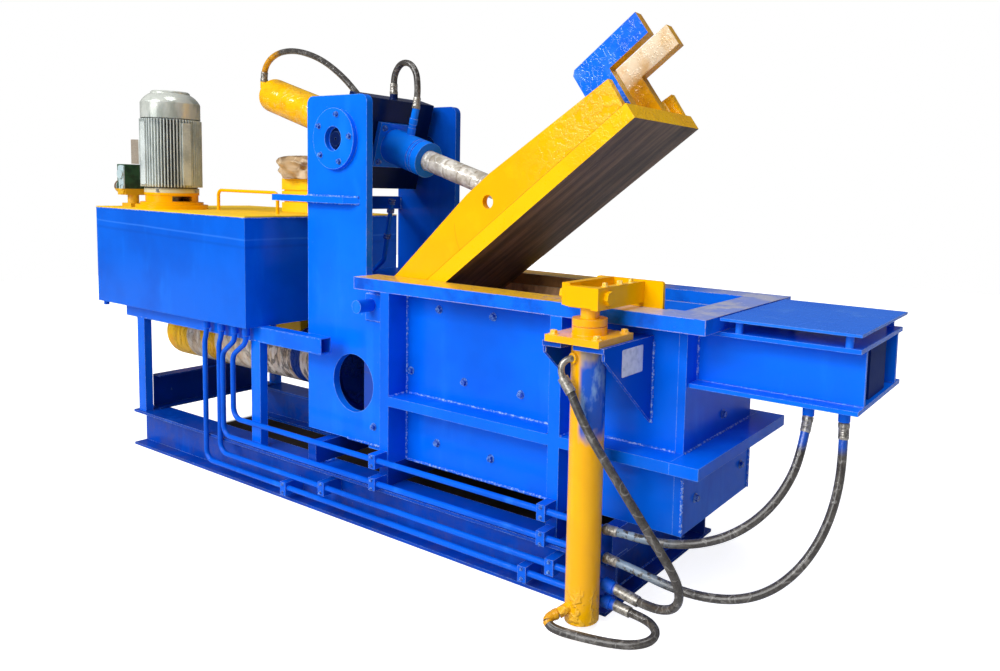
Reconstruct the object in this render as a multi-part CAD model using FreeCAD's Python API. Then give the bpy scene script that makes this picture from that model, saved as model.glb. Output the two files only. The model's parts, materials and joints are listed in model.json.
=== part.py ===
"""Recycling baler: an open-topped press chamber with a hinged lid, three hydraulic presses and an oil tank.

Millimetres. X runs along the machine to its front, Y to its far side, Z up. The floor is Z = 0 and the
chamber's centre plane is Y = 0. X is drawn from near the rear end of the base, and the saved pieces have
their origin on the floor under the middle of the front cross member. The rest pose has the lid raised,
the ram back and the lift down.
"""
import FreeCAD, Part
import math
import os

os.makedirs("parts", exist_ok=True)

V = FreeCAD.Vector
X_AXIS = V(1, 0, 0)
Y_AXIS = V(0, 1, 0)
Z_AXIS = V(0, 0, 1)

# --- running fits and gaps ---
FIT = 0.05                 # radial clearance of a shaft in its hole
SLIDE = 1.0                # a sliding block to its guide, each side
LID_GAP = 7.0              # lid side to chamber wall
RAM_SIDE_GAP = 4.0         # ram to wall, each side
RAM_LOW_GAP = 4.0          # ram to floor plate

# --- base frame ---
BASE_X0 = 62.0
BASE_X1 = 3438.0
BEAM_H = 215.0
BEAM_W = 150.0
BEAM_WEB = 10.0
BEAM_FLANGE = 14.0
ORIGIN_X = BASE_X1 - BEAM_W / 2
BASE_HALF = 470.0          # outer edge of the flanges from the centre plane
SADDLE_TOP = 320.0         # underside of the chamber
SADDLE_HALF = 433.0
SADDLES = ((1640.0, 1700.0), (2155.0, 2211.0), (3120.0, 3176.0), (3378.0, 3438.0))

# --- chamber ---
CHAMBER_HALF = 320.0       # outer face of the side walls
WALL = 36.0
WALL_X0 = 2155.0
FRONT_X0 = 3632.0
FRONT_X1 = 3666.0
FLOOR_T = 40.0
RIM_Z0 = 1118.0
RIM_Z1 = 1175.0
RIM_X0 = 1973.0
RIM_X1 = 3787.0
RIM_HALF = 430.0
RIB_HALF = 433.0
RIB_W = 56.0
RIB_X = (2155.0, 3120.0)
BELT_Z0 = 596.0
BELT_Z1 = 641.0
BELT_X1 = 3784.0

# --- tower that carries the lid cylinder ---
TOWER_X0 = 1494.0
TOWER_X1 = 1931.0
TOWER_Z0 = 339.0
TOWER_Z1 = 2034.0
TOWER_CORNER = 40.0
FOOT_X1 = 1950.0           # where the plate's lower edge steps down to the chamber's
PORTHOLE = (1836.0, 625.0)
PORTHOLE_R = 145.0
TRUNNION = (1718.0, 1822.0)
TRUNNION_R = 55.0
TRUNNION_INSET = 2.0       # trunnion shoulder inside the tower plate's outer face
SPIGOT_R = 36.0
SPIGOT_END = 11.0          # past the shoulder
SPIGOT_HOLE = (6.0, 9.0)   # radius and depth of its centre hole
DISC_R = 148.0
DISC_T = 25.0
DISC_HOLE_R = 60.0
SHELF_T = 32.0
SHELF_Z1 = 1541.0
TIE_T = 20.0

# --- lid, drawn closed with its hinge at the origin, then raised ---
HINGE = (1975.0, 1030.0)
LID_RAISED = 36.5          # degrees, as in the rest pose
LID_HALF = CHAMBER_HALF - WALL - LID_GAP
LID_SIDE_T = 30.0
LID_END_GAP = 6.0          # lid's lower front edge to the front wall as it swings past
LID_SIDE_SETBACK = 17.0    # side plates end this far behind the wear plate
WEAR_LOW = -142.0
WEAR_TOP = -72.0
WEAR_X0 = 120.0
LID_LENGTH = math.sqrt((FRONT_X0 - HINGE[0] - LID_END_GAP) ** 2 - WEAR_LOW ** 2)
LID_TOP = 108.0
LID_TIP_TOP = 55.0
LID_HEEL_TOP = 56.0
LID_RIB_T = 20.0
HINGE_PIN_R = 31.0
HINGE_PIN_REACH = 418.0
ROD_PIN = (852.0, 13.0)
ROD_PIN_R = 30.0
PEEP_R = 30.0              # access hole in each side plate, on the rod pin's axis
LUG_T = 25.0
LUG_FOOT = (720.0, 985.0)
LUG_GAP = 62.0             # rod eye side of each lug, from the centre plane
TONGUE_T = 48.0
TONGUE_Y = 106.0
TONGUE_X0 = 1452.0
TONGUE_X1 = 1828.0
TONGUE_STEM_X1 = 1610.0
TONGUE_LOW = 148.0
TONGUE_TOP = 253.0
TONGUE_CHAMFER = 18.0

# --- lid cylinder, drawn along +X with its trunnion axis at the origin ---
LID_CYL_TILT = 16.4        # degrees below level at rest
LID_ROD_LENGTH = 974.6     # trunnion axis to rod pin at rest
YOKE_S0 = -70.0
YOKE_S1 = 30.0
YOKE_HALF = 240.0
YOKE_LOW = -238.0
YOKE_TOP = 232.0
BARREL_R = 97.0
BARREL_BORE_R = 80.0
BARREL_END = -1005.0
BARREL_CAP_T = 40.0
BARREL_EDGE = 24.0
GLAND_R = 90.0
GLAND_END = 312.0
GLAND_PORT_S = 151.0
GLAND_FITTING_TOP = 226.0
GLAND_PLATE = 115.0
GLAND_PLATE_T = 25.0
LID_ROD_R = 52.0
LID_PISTON = (-930.0, -870.0)
EYE_R = 84.0
EYE_HALF = 55.0
EYE_BORE_R = 49.0          # loose on its pin: the linkage is left open at this pivot

# --- main press ---
PRESS_Z = 625.0
MAIN_R = 165.0
MAIN_BORE_R = 125.0
MAIN_X0 = -150.0
MAIN_X1 = 1625.0
MAIN_FLANGE_X0 = 1590.0
MAIN_FLANGE_R = 215.0
MAIN_CAP_T = 40.0
MAIN_EDGE = 40.0
MAIN_GLAND_BACK = 30.0     # gland's end behind the flange
MAIN_PORT_X = (760.0, 1120.0)
MAIN_PORT_HALF = 90.0
MAIN_PORT_SINK = 45.0      # block's foot below the top of the cylinder
MAIN_PORT_RISE = 48.0      # and its top above it
MAIN_ROD_R = 80.0
MAIN_PISTON = (-100.0, -20.0)
CROSS_X0 = 1530.0
DECK_X1 = 1880.0
TIE_H = 71.0
RAM_X0 = 1870.0
RAM_X1 = 2100.0
RAM_TOP = 880.0
RAM_SHELL = 30.0

# --- bale lift on the near side ---
LIFT_AXIS = (3395.0, -567.0)
LIFT_R = 64.5
LIFT_BORE_R = 50.0
LIFT_Z0 = 28.0
BRACKET_X0 = 3262.0
BRACKET_X1 = 3524.0
BRACKET_Y0 = -670.0
BRACKET_Z1 = 1075.0
BRACKET_T = 20.0
GUSSET_T = 12.0
GUSSET_APEX_Z = 737.0
LIFT_FLANGE = 115.0
LIFT_FLANGE_T = 25.0
LIFT_RING_H = 57.0         # the gland rings on the flange
LIFT_RING_TOP = BRACKET_Z1 + LIFT_FLANGE_T + LIFT_RING_H
LIFT_ROD_R = 35.0
CROSS_GAP = 36.0           # crosshead over the rings
CROSS_LOW = LIFT_RING_TOP + CROSS_GAP
CROSS_TOP = CROSS_LOW + 80.0
LIFT_PIN_Z = CROSS_LOW + 41.0
LIFT_PIN_R = 16.0
LIFT_PLATE_X0 = 3244.0
LIFT_PLATE_X1 = 3546.0
LIFT_PLATE_T = 16.0
LIFT_PLATE_TOP = 1278.0
RECESS_X0 = 3236.0
RECESS_X1 = 3564.0
RECESS_D = 18.0

# --- lock housing at the front ---
HOUSING_X1 = 4292.0
HOUSING_Z0 = 892.0
HOUSING_Z1 = 1117.0
HOUSING_HALF = 300.0
HOUSING_WEB = 230.0
PLATE_T = 16.0
BOLT_HALF = 95.0
BOLT_Z = (962.0, 1065.0)
BOLT_X0 = 3640.0
BOLT_X1 = 3860.0
LOCK_R = 58.0
LOCK_BORE_R = 45.0
LOCK_ROD_R = 28.0
LOCK_X = (3900.0, 4276.0)
TABLE_X = (3797.0, 4300.0)
TABLE_HALF = 333.0
TABLE_T = 10.0
TABLE_DROP = 2.0           # table's top below the rim's
TABLE_Z1 = RIM_Z1 - TABLE_DROP
TABLE_Z0 = TABLE_Z1 - TABLE_T
STANDOFF_R = 14.0
STANDOFF_X = (3852.0, 4248.0)
STANDOFF_Y = 285.0

# --- tank, its stand and what stands on it ---
TANK_X0 = -195.0
TANK_X1 = 1280.0
TANK_Y0 = -530.0
TANK_Y1 = 470.0
TANK_Z0 = 857.0
TANK_Z1 = 1426.0
TANK_T = 6.0
POST_W = 75.0
POST_D = 42.0
POST_X = (95.0, 1211.0)
STAND_HALF = 456.0
RAIL_X = (-25.0, 1767.0)
RAIL_W = 60.0
RAIL_H = 80.0
RAIL_T = 5.0
CHANNEL_X = (105.0, 185.0)
CHANNEL_TOP = 420.0
CHANNEL_T = 8.0
CHANNEL_GAP = 36.0         # channel's ends to the posts
CHANNEL_HALF = STAND_HALF - POST_D - CHANNEL_GAP
CRADLE_W = 45.0
CRADLE_HALF = 65.0
CRADLE_WRAP = 35.0         # how far the cradle comes up round the cylinder
MOTOR = (276.0, -334.0)
MOTOR_R = 160.0            # over the fins
MOTOR_CORE_R = 134.0
FIN_T = 5.0
FIN_COUNT = 60
MOTOR_FLANGE_R = 142.0
MOTOR_Z0 = 1520.0
MOTOR_Z1 = 1944.0
COWL_R = 154.0
COWL_Z1 = 2031.0
COWL_CAP_R = 101.0
COWL_CAP_H = 14.0
COWL_EDGE = 7.0
COWL_TOP_Z = 2101.0
COWL_T = 3.0
SHAFT_R = 24.0
BASE_DISC_R = 188.0
BELL_R = 137.0
MANIFOLD_X = (706.0, 1106.0)
MANIFOLD_Y = (90.0, 300.0)
MANIFOLD_TOP = 1622.0
HANDLE_X = (513.0, 1068.0)
HANDLE_Y = -194.0
HANDLE_Z = 1543.0
HANDLE_R = 9.0
HANDLE_BEND = 32.0

# --- pipes and hoses ---
PIPE_R = 13.0
PIPE_Y = -486.0
PIPE_END_X = 3440.0
HOSE_R = 16.0
ARC_SHARE = 0.45           # of the shorter run beside a bend


def box(x0, x1, y0, y1, z0, z1):
    return Part.makeBox(x1 - x0, y1 - y0, z1 - z0, V(x0, y0, z0))


def cylinder(start, axis, length, radius):
    return Part.makeCylinder(radius, length, V(*start), axis)


def bar(start, end, radius):
    """A round bar between two points."""
    run = V(*end) - V(*start)
    return Part.makeCylinder(radius, run.Length, V(*start), run)


def prism(corners, axis, low, high):
    """A polygon in the plane across an axis, given as its two other coordinates, drawn from low to high."""
    place = {"x": lambda a, b: V(low, a, b), "y": lambda a, b: V(a, low, b), "z": lambda a, b: V(a, b, low)}
    along = {"x": X_AXIS, "y": Y_AXIS, "z": Z_AXIS}[axis]
    points = [place[axis](a, b) for a, b in corners]
    face = Part.Face(Part.makePolygon(points + points[:1]))
    return face.extrude(along * (high - low))


def fuse(shapes):
    whole = shapes[0].multiFuse(shapes[1:]) if len(shapes) > 1 else shapes[0]
    return whole.removeSplitter()


def mirrored(shape):
    return shape.mirror(V(0, 0, 0), Y_AXIS)


def both_sides(shape):
    return [shape, mirrored(shape)]


def bent_path(route, bend=None):
    """Straight runs joined by tangent arcs of one bend radius, or as wide as the runs allow.

    Returns the path and its smallest arc's radius.
    """
    points = [V(*p) for p in route]
    edges = []
    start = points[0]
    smallest = math.inf
    for before, corner, after in zip(points, points[1:], points[2:]):
        back = (before - corner).normalize()
        ahead = (after - corner).normalize()
        half_turn = (math.pi - back.getAngle(ahead)) / 2
        reach = ARC_SHARE * min((before - corner).Length, (after - corner).Length)
        if bend:
            reach = min(reach, bend * math.tan(half_turn))
        arc_radius = reach / math.tan(half_turn)
        smallest = min(smallest, arc_radius)
        first = corner + back * reach
        last = corner + ahead * reach
        inward = (back + ahead).normalize()
        middle = corner + inward * (arc_radius / math.cos(half_turn) - arc_radius)
        edges.append(Part.LineSegment(start, first).toShape())
        edges.append(Part.Arc(first, middle, last).toShape())
        start = last
    edges.append(Part.LineSegment(start, points[-1]).toShape())
    return Part.Wire(edges), smallest


def tube(route, radius, bend=None):
    """A round tube along a bent path. Prints its length and smallest arc, and checks its volume."""
    path, smallest = bent_path(route, bend)
    first, second = V(*route[0]), V(*route[1])
    ring = Part.Wire(Part.makeCircle(radius, first, second - first))
    solid = path.makePipeShell([ring], True, False)
    expected = path.Length * math.pi * radius ** 2
    print("tube length %.0f mm, smallest arc %.0f mm, volume ratio %.4f"
          % (path.Length, smallest, solid.Volume / expected))
    return solid


def sleeve(start, end, radius, hex_radius, hex_share=0.3):
    """A crimped hose end: a sleeve with a larger nut over its first share."""
    first = V(*start)
    run = V(*end) - first
    nut = Part.makeCylinder(hex_radius, run.Length * hex_share, first, run)
    return fuse([nut, Part.makeCylinder(radius, run.Length, first, run)])


def save(name, shape):
    """Write one piece, with the origin moved to the floor under the middle of the front cross member."""
    placed = shape.copy()
    placed.translate(V(-ORIGIN_X, 0, 0))
    placed.exportStep("parts/" + name + ".step")


# --- base frame ---
def h_section(width, height, web, flange):
    half = width / 2
    return [(-half, 0), (half, 0), (half, flange), (web / 2, flange), (web / 2, height - flange),
            (half, height - flange), (half, height), (-half, height), (-half, height - flange),
            (-web / 2, height - flange), (-web / 2, flange), (-half, flange)]


beam_y = -(BASE_HALF - BEAM_W / 2)
section = [(beam_y + a, b) for a, b in h_section(BEAM_W, BEAM_H, BEAM_WEB, BEAM_FLANGE)]
beam = prism(section, "x", BASE_X0, BASE_X1)
save("base_beam_near", beam)
save("base_beam_far", mirrored(beam))

inner = BASE_HALF - BEAM_W
section = [(ORIGIN_X + a, b) for a, b in h_section(BEAM_W, BEAM_H, BEAM_WEB, BEAM_FLANGE)]
cross_members = [prism(section, "y", -inner, inner)]
for x0, x1 in SADDLES:
    cross_members.append(box(x0, x1, -SADDLE_HALF, SADDLE_HALF, BEAM_H, SADDLE_TOP))
save("base_cross_members", fuse(cross_members))

x0, x1 = CHANNEL_X
channel = prism([(x0, BEAM_H), (x1, BEAM_H), (x1, BEAM_H + CHANNEL_T), (x0 + CHANNEL_T, BEAM_H + CHANNEL_T),
                 (x0 + CHANNEL_T, CHANNEL_TOP - CHANNEL_T), (x1, CHANNEL_TOP - CHANNEL_T),
                 (x1, CHANNEL_TOP), (x0, CHANNEL_TOP)], "y", -CHANNEL_HALF, CHANNEL_HALF)
cradle = box(x0, x0 + CRADLE_W, -CRADLE_HALF, CRADLE_HALF, CHANNEL_TOP, PRESS_Z - MAIN_R + CRADLE_WRAP)
cradle = cradle.cut(cylinder((x0 - 1, 0, PRESS_Z), X_AXIS, CRADLE_W + 2, MAIN_R))
save("rear_support", fuse([channel, cradle]))

# --- tank stand: two posts under an open rectangular rail on each side ---
rail_z = TANK_Z0 - RAIL_H
stand = []
for x in POST_X:
    post = box(x, x + POST_W, -STAND_HALF, -STAND_HALF + POST_D, BEAM_H, rail_z)
    stand.append(post)
rail = box(RAIL_X[0], RAIL_X[1], -STAND_HALF, -STAND_HALF + RAIL_W, rail_z, TANK_Z0)
rail = rail.cut(box(RAIL_X[0], RAIL_X[1], -STAND_HALF + RAIL_T, -STAND_HALF + RAIL_W - RAIL_T,
                    rail_z + RAIL_T, TANK_Z0 - RAIL_T))
stand.append(rail)
stand = fuse(stand)
save("tank_stand_near", stand)
save("tank_stand_far", mirrored(stand))

# --- oil tank ---
top_t = 8.0
plug_r = 14.0
plug_length = 26.0
plug_places = ((TANK_X0 + 30.0, TANK_Y0 + 30.0), (TANK_X1 - 20.0, TANK_Y0 + 170.0))
tank = box(TANK_X0, TANK_X1, TANK_Y0, TANK_Y1, TANK_Z0, TANK_Z1 - top_t)
tank = tank.cut(box(TANK_X0 + TANK_T, TANK_X1 - TANK_T, TANK_Y0 + TANK_T, TANK_Y1 - TANK_T,
                    TANK_Z0 + TANK_T, TANK_Z1 - top_t - TANK_T))
plugs = [cylinder((px, py, TANK_Z0 - plug_length), Z_AXIS, plug_length, plug_r)
         for px, py in plug_places]
save("oil_tank", fuse([tank] + plugs))
save("tank_top", box(TANK_X0, TANK_X1, TANK_Y0, TANK_Y1, TANK_Z1 - top_t, TANK_Z1))

# The handle's straight legs go up from the tank's top and a tangent arc joins each to its bar.
handle_route = [(HANDLE_X[0], HANDLE_Y, TANK_Z1), (HANDLE_X[0], HANDLE_Y, HANDLE_Z),
                (HANDLE_X[1], HANDLE_Y, HANDLE_Z), (HANDLE_X[1], HANDLE_Y, TANK_Z1)]
save("tank_handle", tube(handle_route, HANDLE_R, HANDLE_BEND))

# --- motor on its bell housing ---
mx, my = MOTOR


def turned(profile, centre):
    """A body turned about the vertical axis through a centre. The profile holds radius and height pairs."""
    points = [V(a, 0, b) for a, b in profile]
    solid = Part.Face(Part.makePolygon(points + points[:1])).revolve(V(0, 0, 0), Z_AXIS, 360)
    solid.translate(V(centre[0], centre[1], 0))
    return solid


def round_motor(shape, angle):
    """Turn a piece drawn along +X about the motor's axis and set it there."""
    shape.rotate(V(0, 0, 0), Z_AXIS, angle)
    shape.translate(V(mx, my, 0))
    return shape


bell_bore_r = 104.0
bell_step_r = 164.0
bell_floor_t = 12.0
bell_z = (TANK_Z1 + 25.0, TANK_Z1 + 40.0, MOTOR_Z0 - 14.0)
window_angle = -5.0
window_half = 55.0
window_margin = 5.0
bell = turned([(0, TANK_Z1), (BASE_DISC_R, TANK_Z1), (BASE_DISC_R, bell_z[0]), (bell_step_r, bell_z[0]),
               (bell_step_r, bell_z[1]), (BELL_R, bell_z[1]), (BELL_R, bell_z[2]),
               (MOTOR_FLANGE_R, bell_z[2]), (MOTOR_FLANGE_R, MOTOR_Z0), (0, MOTOR_Z0)], MOTOR)
bell = bell.cut(cylinder((mx, my, TANK_Z1 + bell_floor_t), Z_AXIS, MOTOR_Z0 - TANK_Z1, bell_bore_r))
for angle in (window_angle, window_angle + 180.0):
    window = box(bell_bore_r - 20.0, BELL_R + 5.0, -window_half, window_half,
                 bell_z[1] + window_margin, bell_z[2] - window_margin)
    bell = bell.cut(round_motor(window, angle))
save("bell_housing", bell)

cavity_r = 110.0
end_t = 30.0
flange_t = 25.0
fin_root = 5.0             # how deep a fin sits in the core
pad_root = 8.0
pad_out = 3.0              # pad past the fins
pad_half = 24.0
terminal_angle = -150.0
terminal_half = 55.0
terminal_out = 45.0
terminal_z = (1680.0, 1820.0)
fin_z = (MOTOR_Z0 + flange_t + 8.0, MOTOR_Z1 - 6.0)
pad_z = (fin_z[0] + 12.0, fin_z[1] - 20.0)
core = turned([(0, MOTOR_Z0), (MOTOR_FLANGE_R, MOTOR_Z0), (MOTOR_FLANGE_R, MOTOR_Z0 + flange_t),
               (MOTOR_CORE_R, MOTOR_Z0 + flange_t), (MOTOR_CORE_R, MOTOR_Z1), (0, MOTOR_Z1)], MOTOR)
fins = [round_motor(box(MOTOR_CORE_R - fin_root, MOTOR_R, -FIN_T / 2, FIN_T / 2, *fin_z),
                    i * 360.0 / FIN_COUNT) for i in range(FIN_COUNT)]
pads = [round_motor(box(MOTOR_CORE_R - pad_root, MOTOR_R + pad_out, -pad_half, pad_half, *pad_z), i * 90.0)
        for i in range(4)]
terminal_box = round_motor(box(MOTOR_CORE_R - pad_root, MOTOR_R + terminal_out, -terminal_half, terminal_half,
                               *terminal_z), terminal_angle)
housing = fuse([core, terminal_box] + pads + fins)
housing = housing.cut(cylinder((mx, my, MOTOR_Z0 + end_t), Z_AXIS, MOTOR_Z1 - MOTOR_Z0 - 2 * end_t, cavity_r))
housing = housing.cut(cylinder((mx, my, MOTOR_Z0 - 1.0), Z_AXIS, MOTOR_Z1 - MOTOR_Z0 + 2.0, SHAFT_R + FIT))
save("motor_housing", housing)

rotor_gap = 3.0
rotor_end_gap = 20.0
fan_r = 132.0
fan_z = MOTOR_Z1 + 26.0
fan_h = 40.0
fan_disc_t = 8.0
blade_half = 2.0
blade_count = 8
coupling_r = 60.0
coupling_h = 50.0
shaft_z0 = TANK_Z1 + 24.0
rotor_z = (MOTOR_Z0 + end_t + rotor_end_gap, MOTOR_Z1 - end_t - rotor_end_gap)
coupling_z = shaft_z0 + coupling_h
core_r = cavity_r - rotor_gap
rotor = [turned([(0, shaft_z0), (coupling_r, shaft_z0), (coupling_r, coupling_z), (SHAFT_R, coupling_z),
                 (SHAFT_R, rotor_z[0]), (core_r, rotor_z[0]), (core_r, rotor_z[1]),
                 (SHAFT_R, rotor_z[1]), (SHAFT_R, fan_z), (fan_r, fan_z), (fan_r, fan_z + fan_disc_t),
                 (SHAFT_R, fan_z + fan_disc_t), (SHAFT_R, fan_z + fan_h), (0, fan_z + fan_h)], MOTOR)]
for i in range(blade_count):
    blade = box(SHAFT_R - 2.0, fan_r, -blade_half, blade_half, fan_z, fan_z + fan_h)
    rotor.append(round_motor(blade, i * 360.0 / blade_count))
save("motor_rotor", fuse(rotor))


def cowl_body(inset):
    """The cowl's outside, or its inside at an inset: a straight skirt, a sloping shoulder, a raised cap."""
    skirt_r = COWL_R - inset
    cap_r = COWL_CAP_R - inset
    top = COWL_TOP_Z - inset
    cap_z = top - COWL_CAP_H
    bulge = 5.0
    start = V(0, 0, MOTOR_Z1)
    skirt = V(skirt_r, 0, MOTOR_Z1)
    shoulder = V(skirt_r, 0, COWL_Z1)
    middle = V((skirt_r + cap_r) / 2 + bulge, 0, (COWL_Z1 + cap_z) / 2 + bulge)
    cap_low = V(cap_r, 0, cap_z)
    cap_side = V(cap_r, 0, top - COWL_EDGE)
    cap_top = V(cap_r - COWL_EDGE, 0, top)
    centre = V(0, 0, top)
    edges = [Part.makeLine(start, skirt), Part.makeLine(skirt, shoulder),
             Part.Arc(shoulder, middle, cap_low).toShape(), Part.makeLine(cap_low, cap_side),
             Part.makeLine(cap_side, cap_top), Part.makeLine(cap_top, centre), Part.makeLine(centre, start)]
    solid = Part.Face(Part.Wire(edges)).revolve(V(0, 0, 0), Z_AXIS, 360)
    solid.translate(V(mx, my, 0))
    return solid


save("motor_fan_cowl", cowl_body(0.0).cut(cowl_body(COWL_T)))

# --- valves on the tank top ---
groove = 8.0
inset = 10.0
joint_z = (TANK_Z1 + 54.0, TANK_Z1 + 122.0)
layers = ((TANK_Z1, joint_z[0]), (joint_z[0] + groove, joint_z[1]), (joint_z[1] + groove, MANIFOLD_TOP))
x0, x1 = MANIFOLD_X
y0, y1 = MANIFOLD_Y
stack = [box(x0, x1, y0, y1, z0, z1) for z0, z1 in layers]
stack.append(box(x0 + inset, x1 - inset, y0 + inset, y1 - inset, TANK_Z1, MANIFOLD_TOP))
save("valve_manifold", fuse(stack))

valve_w = 92.0
valve_half = 60.0
valve_first = 70.0         # first valve from the manifold's end
valve_pitch = 130.0
valve_z = MANIFOLD_TOP + 58.0
valve_top = MANIFOLD_TOP + 108.0
coil_r = 38.0
coil_reach = 140.0
valve_y = (y0 + y1) / 2
valves = []
for i in range(3):
    vx = x0 + valve_first + i * valve_pitch
    block = box(vx - valve_w / 2, vx + valve_w / 2, valve_y - valve_half, valve_y + valve_half,
                MANIFOLD_TOP, valve_top)
    coils = cylinder((vx, valve_y - coil_reach, valve_z), Y_AXIS, 2 * coil_reach, coil_r)
    valves.append(fuse([block, coils]))
save("directional_valves", Part.makeCompound(valves))

# The relief valve: a block on a short neck, with a cover plate, a gauge disc and a port on its near face,
# and a round knob behind.
relief_x = (-104.0, -16.0)
relief_y = (-450.0, -330.0)
relief_z = (1496.0, 1678.0)
foot_h = 22.0
neck_r = 30.0
neck_shift = 14.0
cover_t = 8.0
cover_inset = 6.0
corner = 12.0
disc_r = 29.0
disc_t = 8.0
port_radii = (20.0, 14.0)
port_t = 5.0
knob_r = 40.0
knob_t = 24.0
foot = box(relief_x[0] + 6.0, relief_x[1] + 20.0, relief_y[0] + 20.0, relief_y[1] + 15.0,
           TANK_Z1, TANK_Z1 + foot_h)
neck = cylinder((sum(relief_x) / 2 + neck_shift, sum(relief_y) / 2, TANK_Z1 + foot_h), Z_AXIS,
                relief_z[0] - TANK_Z1 - foot_h, neck_r)
cover_y = relief_y[0] - cover_t
cover_x = (relief_x[0] + 22.0, relief_x[1] - 2.0)
cover_z = (relief_z[0] + cover_inset, relief_z[1] - cover_inset)
cover = prism([(cover_x[0] + corner, cover_z[0]), (cover_x[1] - corner, cover_z[0]),
               (cover_x[1], cover_z[0] + 2 * corner), (cover_x[1], cover_z[1] - corner),
               (cover_x[1] - corner, cover_z[1]), (cover_x[0] + corner, cover_z[1]),
               (cover_x[0], cover_z[1] - corner)], "y", cover_y, relief_y[0])
disc = cylinder((relief_x[1] - 33.0, cover_y - disc_t, relief_z[1] - 58.0), Y_AXIS, disc_t, disc_r)
port_place = (relief_x[1] - 22.0, cover_y - port_t, relief_z[0] + 48.0)
port = cylinder(port_place, Y_AXIS, port_t, port_radii[0])
port = port.cut(cylinder(port_place, Y_AXIS, port_t, port_radii[1]))
knob = cylinder((relief_x[0] - knob_t, relief_y[0] + 32.0, relief_z[0] + 50.0), X_AXIS, knob_t, knob_r)
relief = fuse([foot, neck, box(*relief_x, *relief_y, *relief_z), cover, disc, port, knob])
save("relief_valve", relief)

# --- tower plates ---
tx, tz = TRUNNION
hx, hz = HINGE


def tower_plate():
    """The near plate: an upright above the rim and a foot that runs on to the chamber's first rib."""
    upright = box(TOWER_X0, TOWER_X1, -CHAMBER_HALF, -CHAMBER_HALF + WALL, TOWER_Z0, TOWER_Z1)
    corners = [e for e in upright.Edges if abs(e.CenterOfMass.z - TOWER_Z1) < 1 and e.Length < WALL + 1]
    upright = upright.makeFillet(TOWER_CORNER, corners)
    overlap_x = TOWER_X1 - 100.0
    foot_plate = prism([(overlap_x, TOWER_Z0), (FOOT_X1, TOWER_Z0), (FOOT_X1, SADDLE_TOP),
                        (WALL_X0, SADDLE_TOP), (WALL_X0, RIM_Z0), (overlap_x, RIM_Z0)],
                       "y", -CHAMBER_HALF, -CHAMBER_HALF + WALL)
    plate = fuse([upright, foot_plate])
    depth = WALL + 2.0
    out = -CHAMBER_HALF - 1.0
    plate = plate.cut(cylinder((PORTHOLE[0], out, PORTHOLE[1]), Y_AXIS, depth, PORTHOLE_R))
    plate = plate.cut(cylinder((tx, out, tz), Y_AXIS, depth, TRUNNION_R + FIT))
    return plate.cut(cylinder((hx, out, hz), Y_AXIS, depth, HINGE_PIN_R))


inside = CHAMBER_HALF - WALL
shelf_x = (TOWER_X0 - 229.0, TOWER_X1 - 116.0, DECK_X1)
shelf_y = -CHAMBER_HALF - 45.0
shelf = prism([(shelf_x[0], shelf_y), (shelf_x[1], shelf_y), (shelf_x[2], -CHAMBER_HALF),
               (shelf_x[0], -CHAMBER_HALF)], "z", SHELF_Z1 - SHELF_T, SHELF_Z1)
keeper_t = 8.0
keeper = box(hx - 40.0, hx + 75.0, -CHAMBER_HALF - keeper_t, -CHAMBER_HALF, hz - 75.0, hz + 52.0)
keeper = keeper.cut(cylinder((hx, -CHAMBER_HALF - keeper_t - 1, hz), Y_AXIS, keeper_t + 2, HINGE_PIN_R))
save("tower_plate_near", fuse([tower_plate(), shelf, keeper]))
tie = box(TOWER_X0, TOWER_X0 + TIE_T, -inside, inside, SHELF_Z1 - TIE_H, SHELF_Z1)
save("tower_plate_far", fuse([mirrored(tower_plate()), tie]))

disc = cylinder((tx, -CHAMBER_HALF - DISC_T, tz), Y_AXIS, DISC_T, DISC_R)
disc = disc.cut(cylinder((tx, -CHAMBER_HALF - DISC_T - 1, tz), Y_AXIS, DISC_T + 2, DISC_HOLE_R))
save("trunnion_flange_near", disc)
save("trunnion_flange_far", mirrored(disc))

# The cross plate holds the main cylinder, and a deck above it braces the tower plates.
cross_plate = box(CROSS_X0, MAIN_FLANGE_X0, -inside, inside, TOWER_Z0, RIM_Z0)
cross_hole = cylinder((CROSS_X0 - 1, 0, PRESS_Z), X_AXIS, MAIN_FLANGE_X0 - CROSS_X0 + 2, MAIN_R)
cross_plate = cross_plate.cut(cross_hole)
deck = box(CROSS_X0, DECK_X1, -inside, inside, RIM_Z0, RIM_Z0 + TIE_T)
save("tower_cross_plate", fuse([cross_plate, deck]))

# --- chamber ---
def side_wall():
    """The near wall with its two ribs and the belt that ties them."""
    wall = box(WALL_X0, FRONT_X0, -CHAMBER_HALF, -CHAMBER_HALF + WALL, SADDLE_TOP, RIM_Z0)
    pieces = [wall, box(WALL_X0, FRONT_X1, -RIB_HALF, -CHAMBER_HALF, BELT_Z0, BELT_Z1)]
    for x in RIB_X:
        pieces.append(box(x, x + RIB_W, -RIB_HALF, -CHAMBER_HALF, SADDLE_TOP, RIM_Z0))
    return fuse(pieces)


recess_y0 = -inside - RECESS_D
recess = box(RECESS_X0, RECESS_X1, recess_y0, -inside, SADDLE_TOP + FLOOR_T, RIM_Z1 + 1.0)
save("chamber_wall_near", side_wall().cut(recess))
save("chamber_wall_far", mirrored(side_wall()))

front = box(FRONT_X0, FRONT_X1, -CHAMBER_HALF, CHAMBER_HALF, SADDLE_TOP, RIM_Z0)
front = front.cut(box(FRONT_X0 - 1, FRONT_X1 + 1, -BOLT_HALF - SLIDE, BOLT_HALF + SLIDE,
                      BOLT_Z[0] - SLIDE, BOLT_Z[1] + SLIDE))
belt = box(FRONT_X1, BELT_X1, -RIB_HALF, RIB_HALF, BELT_Z0, BELT_Z1)
save("chamber_front_wall", fuse([front, belt]))
save("chamber_floor", box(MAIN_FLANGE_X0, FRONT_X0, -inside, inside, SADDLE_TOP, SADDLE_TOP + FLOOR_T))

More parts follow.
